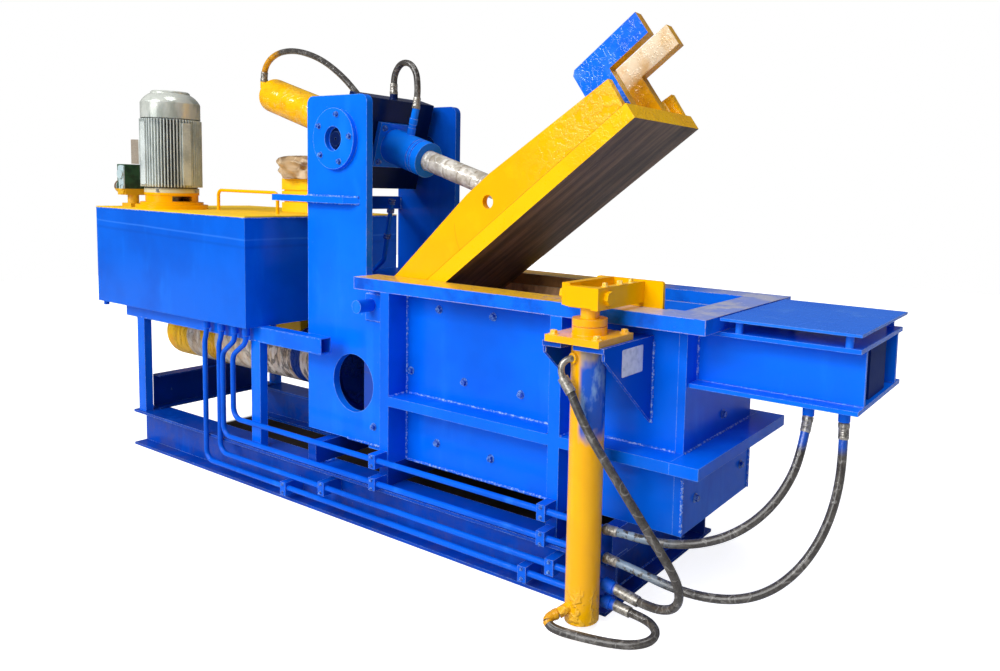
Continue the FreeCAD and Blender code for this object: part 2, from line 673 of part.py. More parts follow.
rim = [box(RIM_X0, RIM_X1, -RIM_HALF, -inside, RIM_Z0, RIM_Z1).cut(recess),
       box(RIM_X0, RIM_X1, inside, RIM_HALF, RIM_Z0, RIM_Z1),
       box(FRONT_X0, RIM_X1, -inside, inside, RIM_Z0, RIM_Z1)]
save("chamber_rim", fuse(rim))

pin = cylinder((hx, -HINGE_PIN_REACH, hz), Y_AXIS, 2 * HINGE_PIN_REACH, HINGE_PIN_R)
save("lid_hinge_pin", pin)


# --- lid ---
def raise_lid(shape):
    shape.rotate(V(0, 0, 0), Y_AXIS, -LID_RAISED)
    shape.translate(V(hx, 0, hz))
    return shape


def lid_save(name, shape):
    save(name, raise_lid(shape))


side_length = LID_LENGTH - LID_SIDE_SETBACK
heel = -62.0
hump = (770.0, 928.0)      # the highest stretch of the side plate
heel_run = 196.0
side_outline = [(heel, WEAR_TOP), (side_length, WEAR_TOP), (side_length + 5.0, LID_TIP_TOP),
                (hump[1], LID_TOP), (hump[0], LID_TOP), (heel_run, LID_HEEL_TOP), (heel, LID_HEEL_TOP)]
side = prism(side_outline, "y", -LID_HALF, -LID_HALF + LID_SIDE_T)
side = side.cut(cylinder((0, -LID_HALF - 1, 0), Y_AXIS, LID_SIDE_T + 2, HINGE_PIN_R + FIT))
side = side.cut(cylinder((ROD_PIN[0], -LID_HALF - 1, ROD_PIN[1]), Y_AXIS, LID_SIDE_T + 2, PEEP_R))
lug_top = (ROD_PIN[0] - 53.0, ROD_PIN[0] + 52.0)
lug_z = 60.0
lug = prism([(LUG_FOOT[0], WEAR_TOP), (LUG_FOOT[1], WEAR_TOP), (lug_top[1], lug_z), (lug_top[0], lug_z)],
            "y", -LUG_GAP - LUG_T, -LUG_GAP)
lug = lug.cut(cylinder((ROD_PIN[0], -LUG_GAP - LUG_T - 1, ROD_PIN[1]), Y_AXIS, LUG_T + 2, ROD_PIN_R))
lid_inner = LID_HALF - LID_SIDE_T
rib_places = ((330.0, -10.0), (LUG_FOOT[0] + 5.0, 0.0), (LUG_FOOT[1] - 25.0, 0.0), (TONGUE_X0 - 32.0, 40.0))
cross_ribs = [box(x, x + LID_RIB_T, -lid_inner, lid_inner, WEAR_TOP, top) for x, top in rib_places]
end_x = TONGUE_STEM_X1 - 50.0
end_top = LID_TIP_TOP - 3.0
end_plate = box(end_x, end_x + LID_RIB_T, -lid_inner, -TONGUE_Y - TONGUE_T, WEAR_TOP, end_top)
lid_save("lid_frame", fuse(both_sides(side) + both_sides(lug) + both_sides(end_plate) + cross_ribs))
lid_save("lid_wear_plate", box(WEAR_X0, LID_LENGTH, -LID_HALF, LID_HALF, WEAR_LOW, WEAR_TOP))
tongue_outline = [(TONGUE_X0, WEAR_TOP), (TONGUE_STEM_X1, WEAR_TOP), (TONGUE_STEM_X1, TONGUE_LOW),
                  (TONGUE_X1, TONGUE_LOW), (TONGUE_X1, TONGUE_TOP), (TONGUE_X0 + TONGUE_CHAMFER, TONGUE_TOP),
                  (TONGUE_X0, TONGUE_TOP - TONGUE_CHAMFER)]
tongue = prism(tongue_outline, "y", -TONGUE_Y - TONGUE_T, -TONGUE_Y)
lid_save("lid_tongue_near", tongue.copy())
lid_save("lid_tongue_far", mirrored(tongue))
pin_end = 8.0
pin_reach = LUG_GAP + LUG_T + pin_end
lid_save("lid_rod_pin", cylinder((ROD_PIN[0], -pin_reach, ROD_PIN[1]), Y_AXIS, 2 * pin_reach, ROD_PIN_R))


# --- lid cylinder ---
def place_cylinder(shape):
    shape.rotate(V(0, 0, 0), Y_AXIS, LID_CYL_TILT)
    shape.translate(V(tx, 0, tz))
    return shape


port_r = 18.0
fitting_r = 20.0
yoke = box(YOKE_S0, YOKE_S1, -YOKE_HALF, YOKE_HALF, YOKE_LOW, YOKE_TOP)
shoulder = CHAMBER_HALF - TRUNNION_INSET
spigot_y = shoulder + SPIGOT_END
stub = fuse([cylinder((0, -shoulder, 0), Y_AXIS, shoulder - YOKE_HALF, TRUNNION_R),
             cylinder((0, -spigot_y, 0), Y_AXIS, spigot_y - YOKE_HALF, SPIGOT_R)])
stub = stub.cut(cylinder((0, -spigot_y, 0), Y_AXIS, SPIGOT_HOLE[1], SPIGOT_HOLE[0]))
yoke = fuse([yoke] + both_sides(stub))
yoke = yoke.cut(cylinder((YOKE_S0 - 1, 0, 0), X_AXIS, YOKE_S1 - YOKE_S0 + 2, BARREL_R))
yoke = place_cylinder(yoke)
rear_port = bar((1708.0, -113.0, 1998.0), (1663.0, -112.0, 2026.0), fitting_r)
top_port = bar((1764.0, 0.0, 2030.0), (1764.0, 0.0, 2071.0), fitting_r)
save("lid_cylinder_yoke", fuse([yoke, rear_port, top_port]))

barrel = cylinder((BARREL_END, 0, 0), X_AXIS, YOKE_S1 - BARREL_END, BARREL_R)
end_edge = [e for e in barrel.Edges if abs(e.CenterOfMass.x - BARREL_END) < 1 and e.Closed]
barrel = barrel.makeFillet(BARREL_EDGE, end_edge)
barrel = barrel.cut(cylinder((BARREL_END + BARREL_CAP_T, 0, 0), X_AXIS, YOKE_S1 - BARREL_END, BARREL_BORE_R))
barrel = place_cylinder(barrel)
cap_port = bar((800.0, -40.0, 2138.0), (732.0, -40.0, 2158.0), fitting_r)
cap_port = fuse([cap_port, bar((732.0, -40.0, 2138.0), (733.0, -40.0, 2176.0), fitting_r)])
bore = cylinder((BARREL_END + BARREL_CAP_T, 0, 0), X_AXIS, YOKE_S1 - BARREL_END, BARREL_BORE_R)
cap_port = cap_port.cut(place_cylinder(bore))
save("lid_cylinder_barrel", fuse([barrel, cap_port]))

port_collar_r = 21.0
port_collars = ((GLAND_R - 10.0, 44.0), (GLAND_R + 52.0, 30.0))    # how far out each starts, and its height
ring_places = (238.0, 262.0)
ring_w = 6.0
ring_depth = 5.0
gland = fuse([box(YOKE_S1, YOKE_S1 + GLAND_PLATE_T, -GLAND_PLATE, GLAND_PLATE, -GLAND_PLATE, GLAND_PLATE),
              cylinder((YOKE_S1, 0, 0), X_AXIS, GLAND_END - YOKE_S1, GLAND_R),
              cylinder((GLAND_PORT_S, 0, 0), Z_AXIS, GLAND_FITTING_TOP, port_r)]
             + [cylinder((GLAND_PORT_S, 0, low), Z_AXIS, high, port_collar_r) for low, high in port_collars])
for s in ring_places:
    ring = cylinder((s, 0, 0), X_AXIS, ring_w, GLAND_R + 1)
    gland = gland.cut(ring.cut(cylinder((s, 0, 0), X_AXIS, ring_w, GLAND_R - ring_depth)))
gland = gland.cut(cylinder((YOKE_S1 - 1, 0, 0), X_AXIS, GLAND_END, LID_ROD_R + FIT))
save("lid_cylinder_gland", place_cylinder(gland))

eye_s = LID_ROD_LENGTH
rod_in_eye = 60.0          # rod's end short of the eye's centre
rod = fuse([cylinder((LID_PISTON[0], 0, 0), X_AXIS, eye_s - LID_PISTON[0] - rod_in_eye, LID_ROD_R),
            cylinder((LID_PISTON[0], 0, 0), X_AXIS, LID_PISTON[1] - LID_PISTON[0], BARREL_BORE_R - FIT),
            cylinder((eye_s, -EYE_HALF, 0), Y_AXIS, 2 * EYE_HALF, EYE_R)])
rod = rod.cut(cylinder((eye_s, -EYE_HALF - 1, 0), Y_AXIS, 2 * EYE_HALF + 2, EYE_BORE_R))
save("lid_piston_rod", place_cylinder(rod))

# --- main press cylinder and ram ---
main = fuse([cylinder((MAIN_X0, 0, PRESS_Z), X_AXIS, MAIN_FLANGE_X0 - MAIN_X0, MAIN_R),
             cylinder((MAIN_FLANGE_X0, 0, PRESS_Z), X_AXIS, MAIN_X1 - MAIN_FLANGE_X0, MAIN_FLANGE_R)])
rear_edge = [e for e in main.Edges if abs(e.CenterOfMass.x - MAIN_X0) < 1 and e.Closed]
main = main.makeFillet(MAIN_EDGE, rear_edge)
bore_x0 = MAIN_X0 + MAIN_CAP_T
bore_x1 = MAIN_FLANGE_X0 - MAIN_GLAND_BACK
main = main.cut(cylinder((bore_x0, 0, PRESS_Z), X_AXIS, bore_x1 - bore_x0, MAIN_BORE_R))
main = main.cut(cylinder((bore_x1 - 1, 0, PRESS_Z), X_AXIS, MAIN_X1 - bore_x1 + 2, MAIN_ROD_R + FIT))
save("main_cylinder", main)

barrel_cut = cylinder((MAIN_X0, 0, PRESS_Z), X_AXIS, MAIN_X1 - MAIN_X0, MAIN_R)
main_top = PRESS_Z + MAIN_R
port_block = box(*MAIN_PORT_X, -MAIN_PORT_HALF, MAIN_PORT_HALF,
                 main_top - MAIN_PORT_SINK, main_top + MAIN_PORT_RISE)
save("main_port_block", port_block.cut(barrel_cut))

rod_flange_r = 140.0
rod_flange_t = 30.0
main_rod = fuse([cylinder((MAIN_PISTON[0], 0, PRESS_Z), X_AXIS, RAM_X0 - MAIN_PISTON[0], MAIN_ROD_R),
                 cylinder((MAIN_PISTON[0], 0, PRESS_Z), X_AXIS, MAIN_PISTON[1] - MAIN_PISTON[0],
                          MAIN_BORE_R - FIT),
                 cylinder((RAM_X0 - rod_flange_t, 0, PRESS_Z), X_AXIS, rod_flange_t, rod_flange_r)])
save("main_piston_rod", main_rod)

ram_half = inside - RAM_SIDE_GAP
ram_low = SADDLE_TOP + FLOOR_T + RAM_LOW_GAP
ram = box(RAM_X0, RAM_X1, -ram_half, ram_half, ram_low, RAM_TOP)
ram = ram.cut(box(RAM_X0 + RAM_SHELL, RAM_X1 - RAM_SHELL, -ram_half + RAM_SHELL, ram_half - RAM_SHELL,
                  ram_low + RAM_SHELL, RAM_TOP - RAM_SHELL))
save("ram_head", ram)

# --- bale lift ---
lx, ly = LIFT_AXIS
bracket = box(BRACKET_X0, BRACKET_X1, BRACKET_Y0, -CHAMBER_HALF, BRACKET_Z1 - BRACKET_T, BRACKET_Z1)
bracket = bracket.cut(cylinder((lx, ly, BRACKET_Z1 - BRACKET_T - 1), Z_AXIS, BRACKET_T + 2, LIFT_R))
slot_w = 52.0              # opening for the top port's elbow
gusset_inset = 6.0
gusset_tip = 24.0
gusset_y = BRACKET_Y0 + gusset_inset
gusset_z = BRACKET_Z1 - BRACKET_T
bracket = bracket.cut(box(lx - slot_w, lx, BRACKET_Y0 - 1, ly, gusset_z - 1, BRACKET_Z1 + 1))
gusset = [(-CHAMBER_HALF, gusset_z), (gusset_y, gusset_z), (gusset_y, gusset_z - gusset_tip),
          (-CHAMBER_HALF, GUSSET_APEX_Z)]
bracket = fuse([bracket, prism(gusset, "x", BRACKET_X0, BRACKET_X0 + GUSSET_T),
                prism(gusset, "x", BRACKET_X1 - GUSSET_T, BRACKET_X1)])
save("ejector_bracket", bracket)

flange_top = BRACKET_Z1 + LIFT_FLANGE_T
ring_gap = 4.0
ring_step = 6.0            # how deep the gap between the rings is
lift_cap_t = 30.0
lift_gland_t = 40.0
ring_z = (flange_top, (flange_top + LIFT_RING_TOP) / 2)
lift = fuse([cylinder((lx, ly, LIFT_Z0), Z_AXIS, BRACKET_Z1 - LIFT_Z0, LIFT_R),
             box(lx - LIFT_FLANGE, lx + LIFT_FLANGE, ly - LIFT_FLANGE, ly + LIFT_FLANGE, BRACKET_Z1, flange_top),
             cylinder((lx, ly, ring_z[0]), Z_AXIS, ring_z[1] - ring_z[0], LIFT_R),
             cylinder((lx, ly, ring_z[1]), Z_AXIS, LIFT_RING_TOP - ring_z[1], LIFT_R - ring_step),
             cylinder((lx, ly, ring_z[1] + ring_gap), Z_AXIS, LIFT_RING_TOP - ring_z[1] - ring_gap, LIFT_R),
             bar((3384.0, -600.0, 1017.0), (3371.0, -638.0, 1017.0), fitting_r),
             bar((3386.0, -600.0, 98.0), (3352.0, -654.0, 71.0), fitting_r)])
bore_z = (LIFT_Z0 + lift_cap_t, BRACKET_Z1 + 10.0 - lift_gland_t)
lift = lift.cut(cylinder((lx, ly, bore_z[0]), Z_AXIS, bore_z[1] - bore_z[0], LIFT_BORE_R))
lift = lift.cut(cylinder((lx, ly, bore_z[1] - 1), Z_AXIS, LIFT_RING_TOP - bore_z[1] + 2, LIFT_ROD_R + FIT))
save("ejector_cylinder", lift)

eye_block = (lx - 70.0, lx + 38.0)
eye_half = 37.5
piston_lift = 36.0         # piston's foot above the cylinder's
piston_h = 50.0
piston_z = LIFT_Z0 + piston_lift
lift_rod = fuse([cylinder((lx, ly, piston_z), Z_AXIS, CROSS_LOW - piston_z, LIFT_ROD_R),
                 cylinder((lx, ly, piston_z), Z_AXIS, piston_h, LIFT_BORE_R - FIT),
                 box(*eye_block, ly - eye_half, ly + eye_half, CROSS_LOW, CROSS_TOP - 8.0)])
lift_rod = lift_rod.cut(cylinder((eye_block[0] - 1, ly, LIFT_PIN_Z), X_AXIS, eye_block[1] - eye_block[0] + 2,
                                 LIFT_PIN_R))
save("ejector_rod", lift_rod)

# The two arms clasp the eye block: the front one wraps its nose, the rear one is a plain bar.
front_bar = (eye_block[1] + 2.0, eye_block[1] + 32.0)
rear_bar = (eye_block[0] - 35.0, eye_block[0])
nose_t = 20.0
bar_end = recess_y0 + 0.5
nose = ly - eye_half - 0.5
front_arm = fuse([box(eye_block[0], front_bar[1], nose - nose_t, nose, CROSS_LOW + 6.0, CROSS_TOP),
                  box(*front_bar, nose - nose_t, bar_end, CROSS_LOW, CROSS_TOP)])
rear_arm = box(*rear_bar, nose + 8.0, bar_end, CROSS_LOW + 4.0, CROSS_TOP + 6.0)
pin_hole = cylinder((rear_bar[0] - 1, ly, LIFT_PIN_Z), X_AXIS, front_bar[1] - rear_bar[0] + 2, LIFT_PIN_R)
save("ejector_arm_front", front_arm.cut(pin_hole))
save("ejector_arm_rear", rear_arm.cut(pin_hole))

nut_r = 26.0
nut_turn = 12.0
head_t = 18.0
nut_t = 16.0
pin_past = 6.0             # pin's end past the nut
pin_x = (rear_bar[0] - nut_t - pin_past, front_bar[1] + 11.0)
hexagon = [(ly + nut_r * math.cos(math.radians(60 * i + nut_turn)),
            LIFT_PIN_Z + nut_r * math.sin(math.radians(60 * i + nut_turn))) for i in range(6)]
save("ejector_pin", fuse([cylinder((pin_x[0], ly, LIFT_PIN_Z), X_AXIS, pin_x[1] - pin_x[0], LIFT_PIN_R),
                          prism(hexagon, "x", front_bar[1], front_bar[1] + head_t),
                          prism(hexagon, "x", rear_bar[0] - nut_t, rear_bar[0])]))

leaf_t = 20.0
leaf_gap = 8.0             # leaf's end to the far wall
plate_corner = 12.0
plate_y = (bar_end, bar_end + LIFT_PLATE_T)
leaf_z = SADDLE_TOP + FLOOR_T + RAM_LOW_GAP
upright = box(LIFT_PLATE_X0, LIFT_PLATE_X1, plate_y[0], plate_y[1], leaf_z, LIFT_PLATE_TOP)
corners = [e for e in upright.Edges
           if abs(e.CenterOfMass.z - LIFT_PLATE_TOP) < 1 and e.Length < LIFT_PLATE_T + 1]
upright = upright.makeFillet(plate_corner, corners)
leaf = box(LIFT_PLATE_X0, LIFT_PLATE_X1, plate_y[0], inside - leaf_gap, leaf_z, leaf_z + leaf_t)
save("ejector_plate", fuse([upright, leaf]))

# --- lock ---
housing = fuse([box(FRONT_X1, HOUSING_X1, -HOUSING_HALF, HOUSING_HALF, HOUSING_Z0, HOUSING_Z0 + PLATE_T),
                box(FRONT_X1, HOUSING_X1, -HOUSING_HALF, HOUSING_HALF, HOUSING_Z1 - PLATE_T, HOUSING_Z1)]
               + both_sides(box(FRONT_X1, HOUSING_X1, -HOUSING_WEB, -HOUSING_WEB + PLATE_T,
                                HOUSING_Z0 + PLATE_T, HOUSING_Z1 - PLATE_T)))
boss_r = 21.0
boss_y = -190.0
boss_x = (4090.0, 4218.0)
boss_low = HOUSING_Z0 - 54.0
bosses = [cylinder((x, boss_y, boss_low), Z_AXIS, HOUSING_Z0 - boss_low, boss_r) for x in boss_x]
save("lock_housing", fuse([housing] + bosses))

table = [box(TABLE_X[0], TABLE_X[1], -TABLE_HALF, TABLE_HALF, TABLE_Z0, TABLE_Z1)]
for x in STANDOFF_X:
    for y in (-STANDOFF_Y, STANDOFF_Y):
        table.append(cylinder((x, y, HOUSING_Z1), Z_AXIS, TABLE_Z0 - HOUSING_Z1, STANDOFF_R))
save("lock_table", fuse(table))

lock_z = (BOLT_Z[0] + BOLT_Z[1]) / 2
lock_x0, lock_x1 = LOCK_X
gland_t = 30.0
cap_t = 30.0
feed_r = 9.0
feed_bend = 30.0
feed_in = 8.0              # how deep a feed sits in the cylinder's wall
foot_t = 20.0
foot_x = lock_x0 + 40.0
foot_half = 80.0
rear_t = 16.0
rear_half = 110.0
floor_z = HOUSING_Z0 + PLATE_T
lock_end = lock_x1 - rear_t
lock = cylinder((lock_x0, 0, lock_z), X_AXIS, lock_end - lock_x0, LOCK_R)
lock_bore = lock_end - lock_x0 - gland_t - cap_t
lock = lock.cut(cylinder((lock_x0 + gland_t, 0, lock_z), X_AXIS, lock_bore, LOCK_BORE_R))
lock = lock.cut(cylinder((lock_x0 - 1, 0, lock_z), X_AXIS, gland_t + 2, LOCK_ROD_R + FIT))
feeds = [tube([(x, boss_y, floor_z), (x, boss_y, lock_z), (x, feed_in - LOCK_R, lock_z)], feed_r, feed_bend)
         for x in boss_x]
rear_plate = box(lock_end, lock_x1, -rear_half, rear_half, floor_z, HOUSING_Z1 - PLATE_T)
front_foot = box(foot_x, foot_x + foot_t, -foot_half, foot_half, floor_z, lock_z)
front_foot = front_foot.cut(cylinder((foot_x - 1, 0, lock_z), X_AXIS, foot_t + 2, LOCK_R - 1.0))
save("lock_cylinder", fuse([lock, front_foot, rear_plate] + feeds))

lock_rod_length = 300.0
lock_piston_t = 40.0
lock_bolt = fuse([box(BOLT_X0, BOLT_X1, -BOLT_HALF, BOLT_HALF, BOLT_Z[0], BOLT_Z[1]),
                  cylinder((BOLT_X1, 0, lock_z), X_AXIS, lock_rod_length, LOCK_ROD_R),
                  cylinder((BOLT_X1 + lock_rod_length - lock_piston_t, 0, lock_z), X_AXIS, lock_piston_t,
                           LOCK_BORE_R - FIT)])
save("lock_bolt", lock_bolt)

# --- pipes along the near side: each drops from the tank, bends and runs forward ---
UNION_H = 49.0
UNION_R = 19.0
PIPE_BEND = 62.0
NECK = (8.0, 42.0)         # how far a pipe leans and drops before its jog
pipe_top = TANK_Z0 - UNION_H
# union's place, drop's place, height of the jog's end, height of the run
pipe_runs = ((862.0, 842.0, 735.0, 76.0), (998.0, 973.0, 735.0, 142.0),
             (1116.0, 1005.0, 690.0, 243.0), (1214.0, 1096.0, 690.0, 352.0))
pipes = []
for top_x, low_x, jog_z, run_z in pipe_runs:
    route = [(top_x, PIPE_Y, pipe_top), (top_x - NECK[0], PIPE_Y, pipe_top - NECK[1]), (low_x, PIPE_Y, jog_z),
             (low_x, PIPE_Y, run_z), (PIPE_END_X, PIPE_Y, run_z)]
    union = cylinder((top_x, PIPE_Y, pipe_top), Z_AXIS, UNION_H, UNION_R)
    pipes.append(fuse([tube(route, PIPE_R, PIPE_BEND), union]))
save("hydraulic_pipes", Part.makeCompound(pipes))

CLAMP_W = 42.0
CLAMP_FRONT = 20.0         # clamp in front of the pipe's axis
CLAMP_UP = 30.0
CLAMP_DOWN = 36.0
clamp_specs = ((1535.0, 76.0), (3060.0, 76.0), (1827.0, 142.0), (3194.0, 142.0),
               (2183.0, 243.0), (3148.0, 243.0), (2183.0, 352.0), (3148.0, 352.0))
web_face = -(BASE_HALF - BEAM_W / 2) - BEAM_WEB / 2
clamps = []
for x, z in clamp_specs:
    reach_y = web_face if z < BEAM_H - BEAM_FLANGE else -RIB_HALF
    low = max(z - CLAMP_DOWN, BEAM_H) if z > BEAM_H else z - CLAMP_DOWN
    clamp = box(x - CLAMP_W / 2, x + CLAMP_W / 2, PIPE_Y - CLAMP_FRONT, reach_y, low, z + CLAMP_UP)
    clamps.append(clamp.cut(cylinder((x - CLAMP_W, PIPE_Y, z), X_AXIS, 2 * CLAMP_W, PIPE_R)))
save("pipe_clamps", Part.makeCompound(clamps))

# --- hoses ---
rear_cap_route = [(733.0, -40.0, 2172.0), (740.0, -44.0, 2216.0), (764.0, -49.0, 2262.0), (818.0, -54.0, 2302.0),
                  (911.0, -60.0, 2330.0), (1049.0, -66.0, 2330.0), (1202.0, -72.0, 2296.0),
                  (1339.0, -80.0, 2243.0), (1473.0, -90.0, 2167.0), (1570.0, -100.0, 2099.0),
                  (1667.0, -112.0, 2023.0)]
gland_route = [(1924.0, 0.0, 1990.0), (1934.0, 0.0, 2052.0), (1935.0, 0.0, 2116.0), (1925.0, 0.0, 2178.0),
               (1880.0, 0.0, 2226.0), (1815.0, 0.0, 2228.0), (1770.0, 0.0, 2178.0), (1763.0, 0.0, 2118.0),
               (1764.0, 0.0, 2066.0)]
lift_top_end = (3593.0, -492.5, 118.5)     # where the fittings on the two lower pipes reach
lift_low_end = (3558.0, -490.5, 66.0)
lift_top_route = [(3588.0, -492.0, 119.0), (3650.0, -504.0, 121.0), (3712.0, -524.0, 138.0),
                  (3767.0, -549.0, 172.0), (3802.0, -577.0, 226.0), (3806.0, -603.0, 292.0),
                  (3781.0, -624.0, 358.0), (3738.0, -640.0, 425.0), (3689.0, -650.0, 493.0),
                  (3636.0, -658.0, 564.0), (3580.0, -664.0, 635.0), (3522.0, -668.0, 707.0),
                  (3466.0, -670.0, 779.0), (3422.0, -670.0, 845.0), (3388.0, -669.0, 908.0)]
lift_low_route = [(3552.0, -490.0, 66.0), (3616.0, -493.0, 64.0), (3670.0, -511.0, 60.0), (3702.0, -548.0, 54.0),
                  (3694.0, -592.0, 44.0), (3645.0, -628.0, 35.0), (3570.0, -650.0, 29.0),
                  (3496.0, -664.0, 26.0), (3436.0, -678.0, 27.0), (3386.0, -695.0, 33.0),
                  (3343.0, -706.0, 47.0), (3327.0, -684.0, 65.0), (3352.0, -654.0, 71.0)]
lock_rear_route = [(3430.0, PIPE_Y, 352.0), (3520.0, -486.0, 354.0), (3610.0, -484.0, 354.0),
                   (3715.0, -474.0, 362.0), (3815.0, -450.0, 384.0), (3915.0, -414.0, 428.0),
                   (4003.0, -366.0, 502.0), (4064.0, -308.0, 600.0), (4092.0, -248.0, 712.0),
                   (4090.0, -190.0, boss_low)]
lock_front_route = [(3436.0, PIPE_Y, 243.0), (3525.0, -486.0, 236.0), (3610.0, -486.0, 225.0),
                    (3700.0, -484.0, 211.0), (3785.0, -476.0, 203.0), (3870.0, -462.0, 204.0),
                    (3955.0, -440.0, 216.0), (4035.0, -408.0, 246.0), (4104.0, -370.0, 300.0),
                    (4160.0, -328.0, 376.0), (4200.0, -286.0, 470.0), (4222.0, -244.0, 580.0),
                    (4226.0, -208.0, 705.0), (4218.0, -190.0, boss_low)]
save("hose_rear_cap", tube(rear_cap_route, HOSE_R))
save("hose_gland", tube(gland_route, HOSE_R))
save("hose_lift_top", tube(lift_top_route, HOSE_R))
save("hose_lift_bottom", tube(lift_low_route, HOSE_R))
save("hose_lock_rear", tube(lock_rear_route, HOSE_R))
save("hose_lock_front", tube(lock_front_route, HOSE_R))

# The elbow runs from the lift cylinder's top port down to its hose, and a sleeve ends each lower hose.
elbow_r = 12.0
nut_radius = 25.0
elbow = tube([(3373.0, -634.0, 1017.0), (3358.0, -648.0, 1014.0), (3344.0, -662.0, 996.0),
              (3344.0, -667.0, 972.0), (3356.0, -668.0, 946.0)], elbow_r)
fittings = [fuse([elbow, bar((3354.0, -668.0, 950.0), (3392.0, -669.0, 902.0), fitting_r)]),
            sleeve((PIPE_END_X, PIPE_Y, pipe_runs[1][3]), lift_top_end, fitting_r, nut_radius),
            sleeve((PIPE_END_X, PIPE_Y, pipe_runs[0][3]), lift_low_end, fitting_r, nut_radius)]
save("hose_fittings", Part.makeCompound(fittings))
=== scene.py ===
import json
import math

import bmesh
import bpy
from mathutils import Matrix, Vector, noise


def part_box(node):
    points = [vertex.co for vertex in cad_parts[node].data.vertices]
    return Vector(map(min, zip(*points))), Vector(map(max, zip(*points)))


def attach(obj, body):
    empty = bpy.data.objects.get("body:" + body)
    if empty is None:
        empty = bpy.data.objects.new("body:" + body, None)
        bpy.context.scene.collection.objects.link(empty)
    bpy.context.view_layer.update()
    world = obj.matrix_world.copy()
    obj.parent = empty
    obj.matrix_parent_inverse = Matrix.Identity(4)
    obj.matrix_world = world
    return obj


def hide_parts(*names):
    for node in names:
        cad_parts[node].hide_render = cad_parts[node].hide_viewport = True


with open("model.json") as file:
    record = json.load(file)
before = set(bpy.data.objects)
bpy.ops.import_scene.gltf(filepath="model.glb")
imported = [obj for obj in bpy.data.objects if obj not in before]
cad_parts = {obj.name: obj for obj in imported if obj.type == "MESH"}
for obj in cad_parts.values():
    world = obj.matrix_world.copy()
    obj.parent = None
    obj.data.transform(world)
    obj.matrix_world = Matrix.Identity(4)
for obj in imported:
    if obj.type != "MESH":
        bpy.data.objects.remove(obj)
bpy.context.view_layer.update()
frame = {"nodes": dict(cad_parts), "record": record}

# --------------------
# Camera. It stands in front of the near side, a little above the rim, and
# looks along the machine towards its tank end.
camera_place = Vector((1.5976, -2.92705, 1.6190))
yaw, pitch, roll = 0.5600716, -0.0922253, -0.0306933
ahead = Vector((-math.sin(yaw) * math.cos(pitch), math.cos(yaw) * math.cos(pitch), math.sin(pitch)))
level = ahead.cross(Vector((0, 0, 1))).normalized()
down = ahead.cross(level)
right = math.cos(roll) * level + math.sin(roll) * down
below = -math.sin(roll) * level + math.cos(roll) * down


def put(name, data):
    """Put a new object into the scene, at the origin."""
    thing = bpy.data.objects.new(name, data)
    bpy.context.scene.collection.objects.link(thing)
    return thing


lens = bpy.data.cameras.new("camera")
lens.sensor_width, lens.lens = 36.0, 28.686
lens.shift_x, lens.shift_y = -0.1119, -0.0727
lens.clip_start, lens.clip_end = 0.05, 60.0
camera = put("camera", lens)
camera.matrix_world = Matrix.Translation(camera_place) @ Matrix((right, -below, -ahead)).transposed().to_4x4()
bpy.context.scene.camera = camera


# --------------------
# Studio. A pale floor with a painted shadow between the beams, in a plain
# surround that is white only to the camera. Broad lamps from the front, low
# down and above, a small hard lamp and a long strip overhead for the glints.
bpy.context.scene.view_settings.view_transform = "Standard"


class Wire:
    """One output in a node tree. Sums on it add Math nodes, so node maths reads as plain expressions."""

    def __init__(self, tree, socket):
        self.tree = tree
        self.socket = socket

    def math(self, operation, *values):
        return self.tree.node("ShaderNodeMath", {"operation": operation}, dict(enumerate(values)))

    def __add__(self, other):
        return self.math("ADD", self, other)

    __radd__ = __add__

    def __sub__(self, other):
        return self.math("SUBTRACT", self, other)

    def __rsub__(self, other):
        return self.math("SUBTRACT", other, self)

    def __mul__(self, other):
        return self.math("MULTIPLY", self, other)

    __rmul__ = __mul__

    def __abs__(self):
        return self.math("ABSOLUTE", self)

    def root(self):
        return self.math("SQRT", self)

    def sine(self):
        return self.math("SINE", self)

    def step(self, low, high):
        """0 at low, 1 at high, smooth between."""
        return self.tree.node("ShaderNodeMapRange", {"interpolation_type": "SMOOTHSTEP", "clamp": True},
                              {"Value": self, "From Min": low, "From Max": high})


class Tree:
    """A node tree that is built one node at a time."""

    def __init__(self, tree):
        self.tree = tree

    def node(self, kind, settings, inputs, output=0):
        """Add a node. Its settings come first, then the values or links of its sockets."""
        node = self.tree.nodes.new(kind)
        for key, value in settings.items():
            if key == "stops":
                ramp = node.color_ramp
                while len(ramp.elements) < len(value):
                    ramp.elements.new(0.5)
                for element, (place, colour) in zip(ramp.elements, value):
                    element.position = place
                    element.color = (*colour, 1.0)
            else:
                setattr(node, key, value)
        for key, value in inputs.items():
            for one in value if isinstance(value, list) else [value]:
                self.feed(node.inputs[key], one)
        return Wire(self, node.outputs[output])

    def feed(self, socket, value):
        if isinstance(value, Wire):
            self.tree.links.new(value.socket, socket)
        elif hasattr(value, "__len__") and len(value) == 3 and socket.type == "RGBA":
            socket.default_value = (*value, 1.0)
        else:
            socket.default_value = value


def tint(colour):
    """A colour as a chart gives it, 0 to 255, in linear values. A wire stays a wire."""
    if isinstance(colour, Wire):
        return colour
    return tuple(((c / 255 + 0.055) / 1.055) ** 2.4 if c > 10 else c / 255 / 12.92 for c in colour)


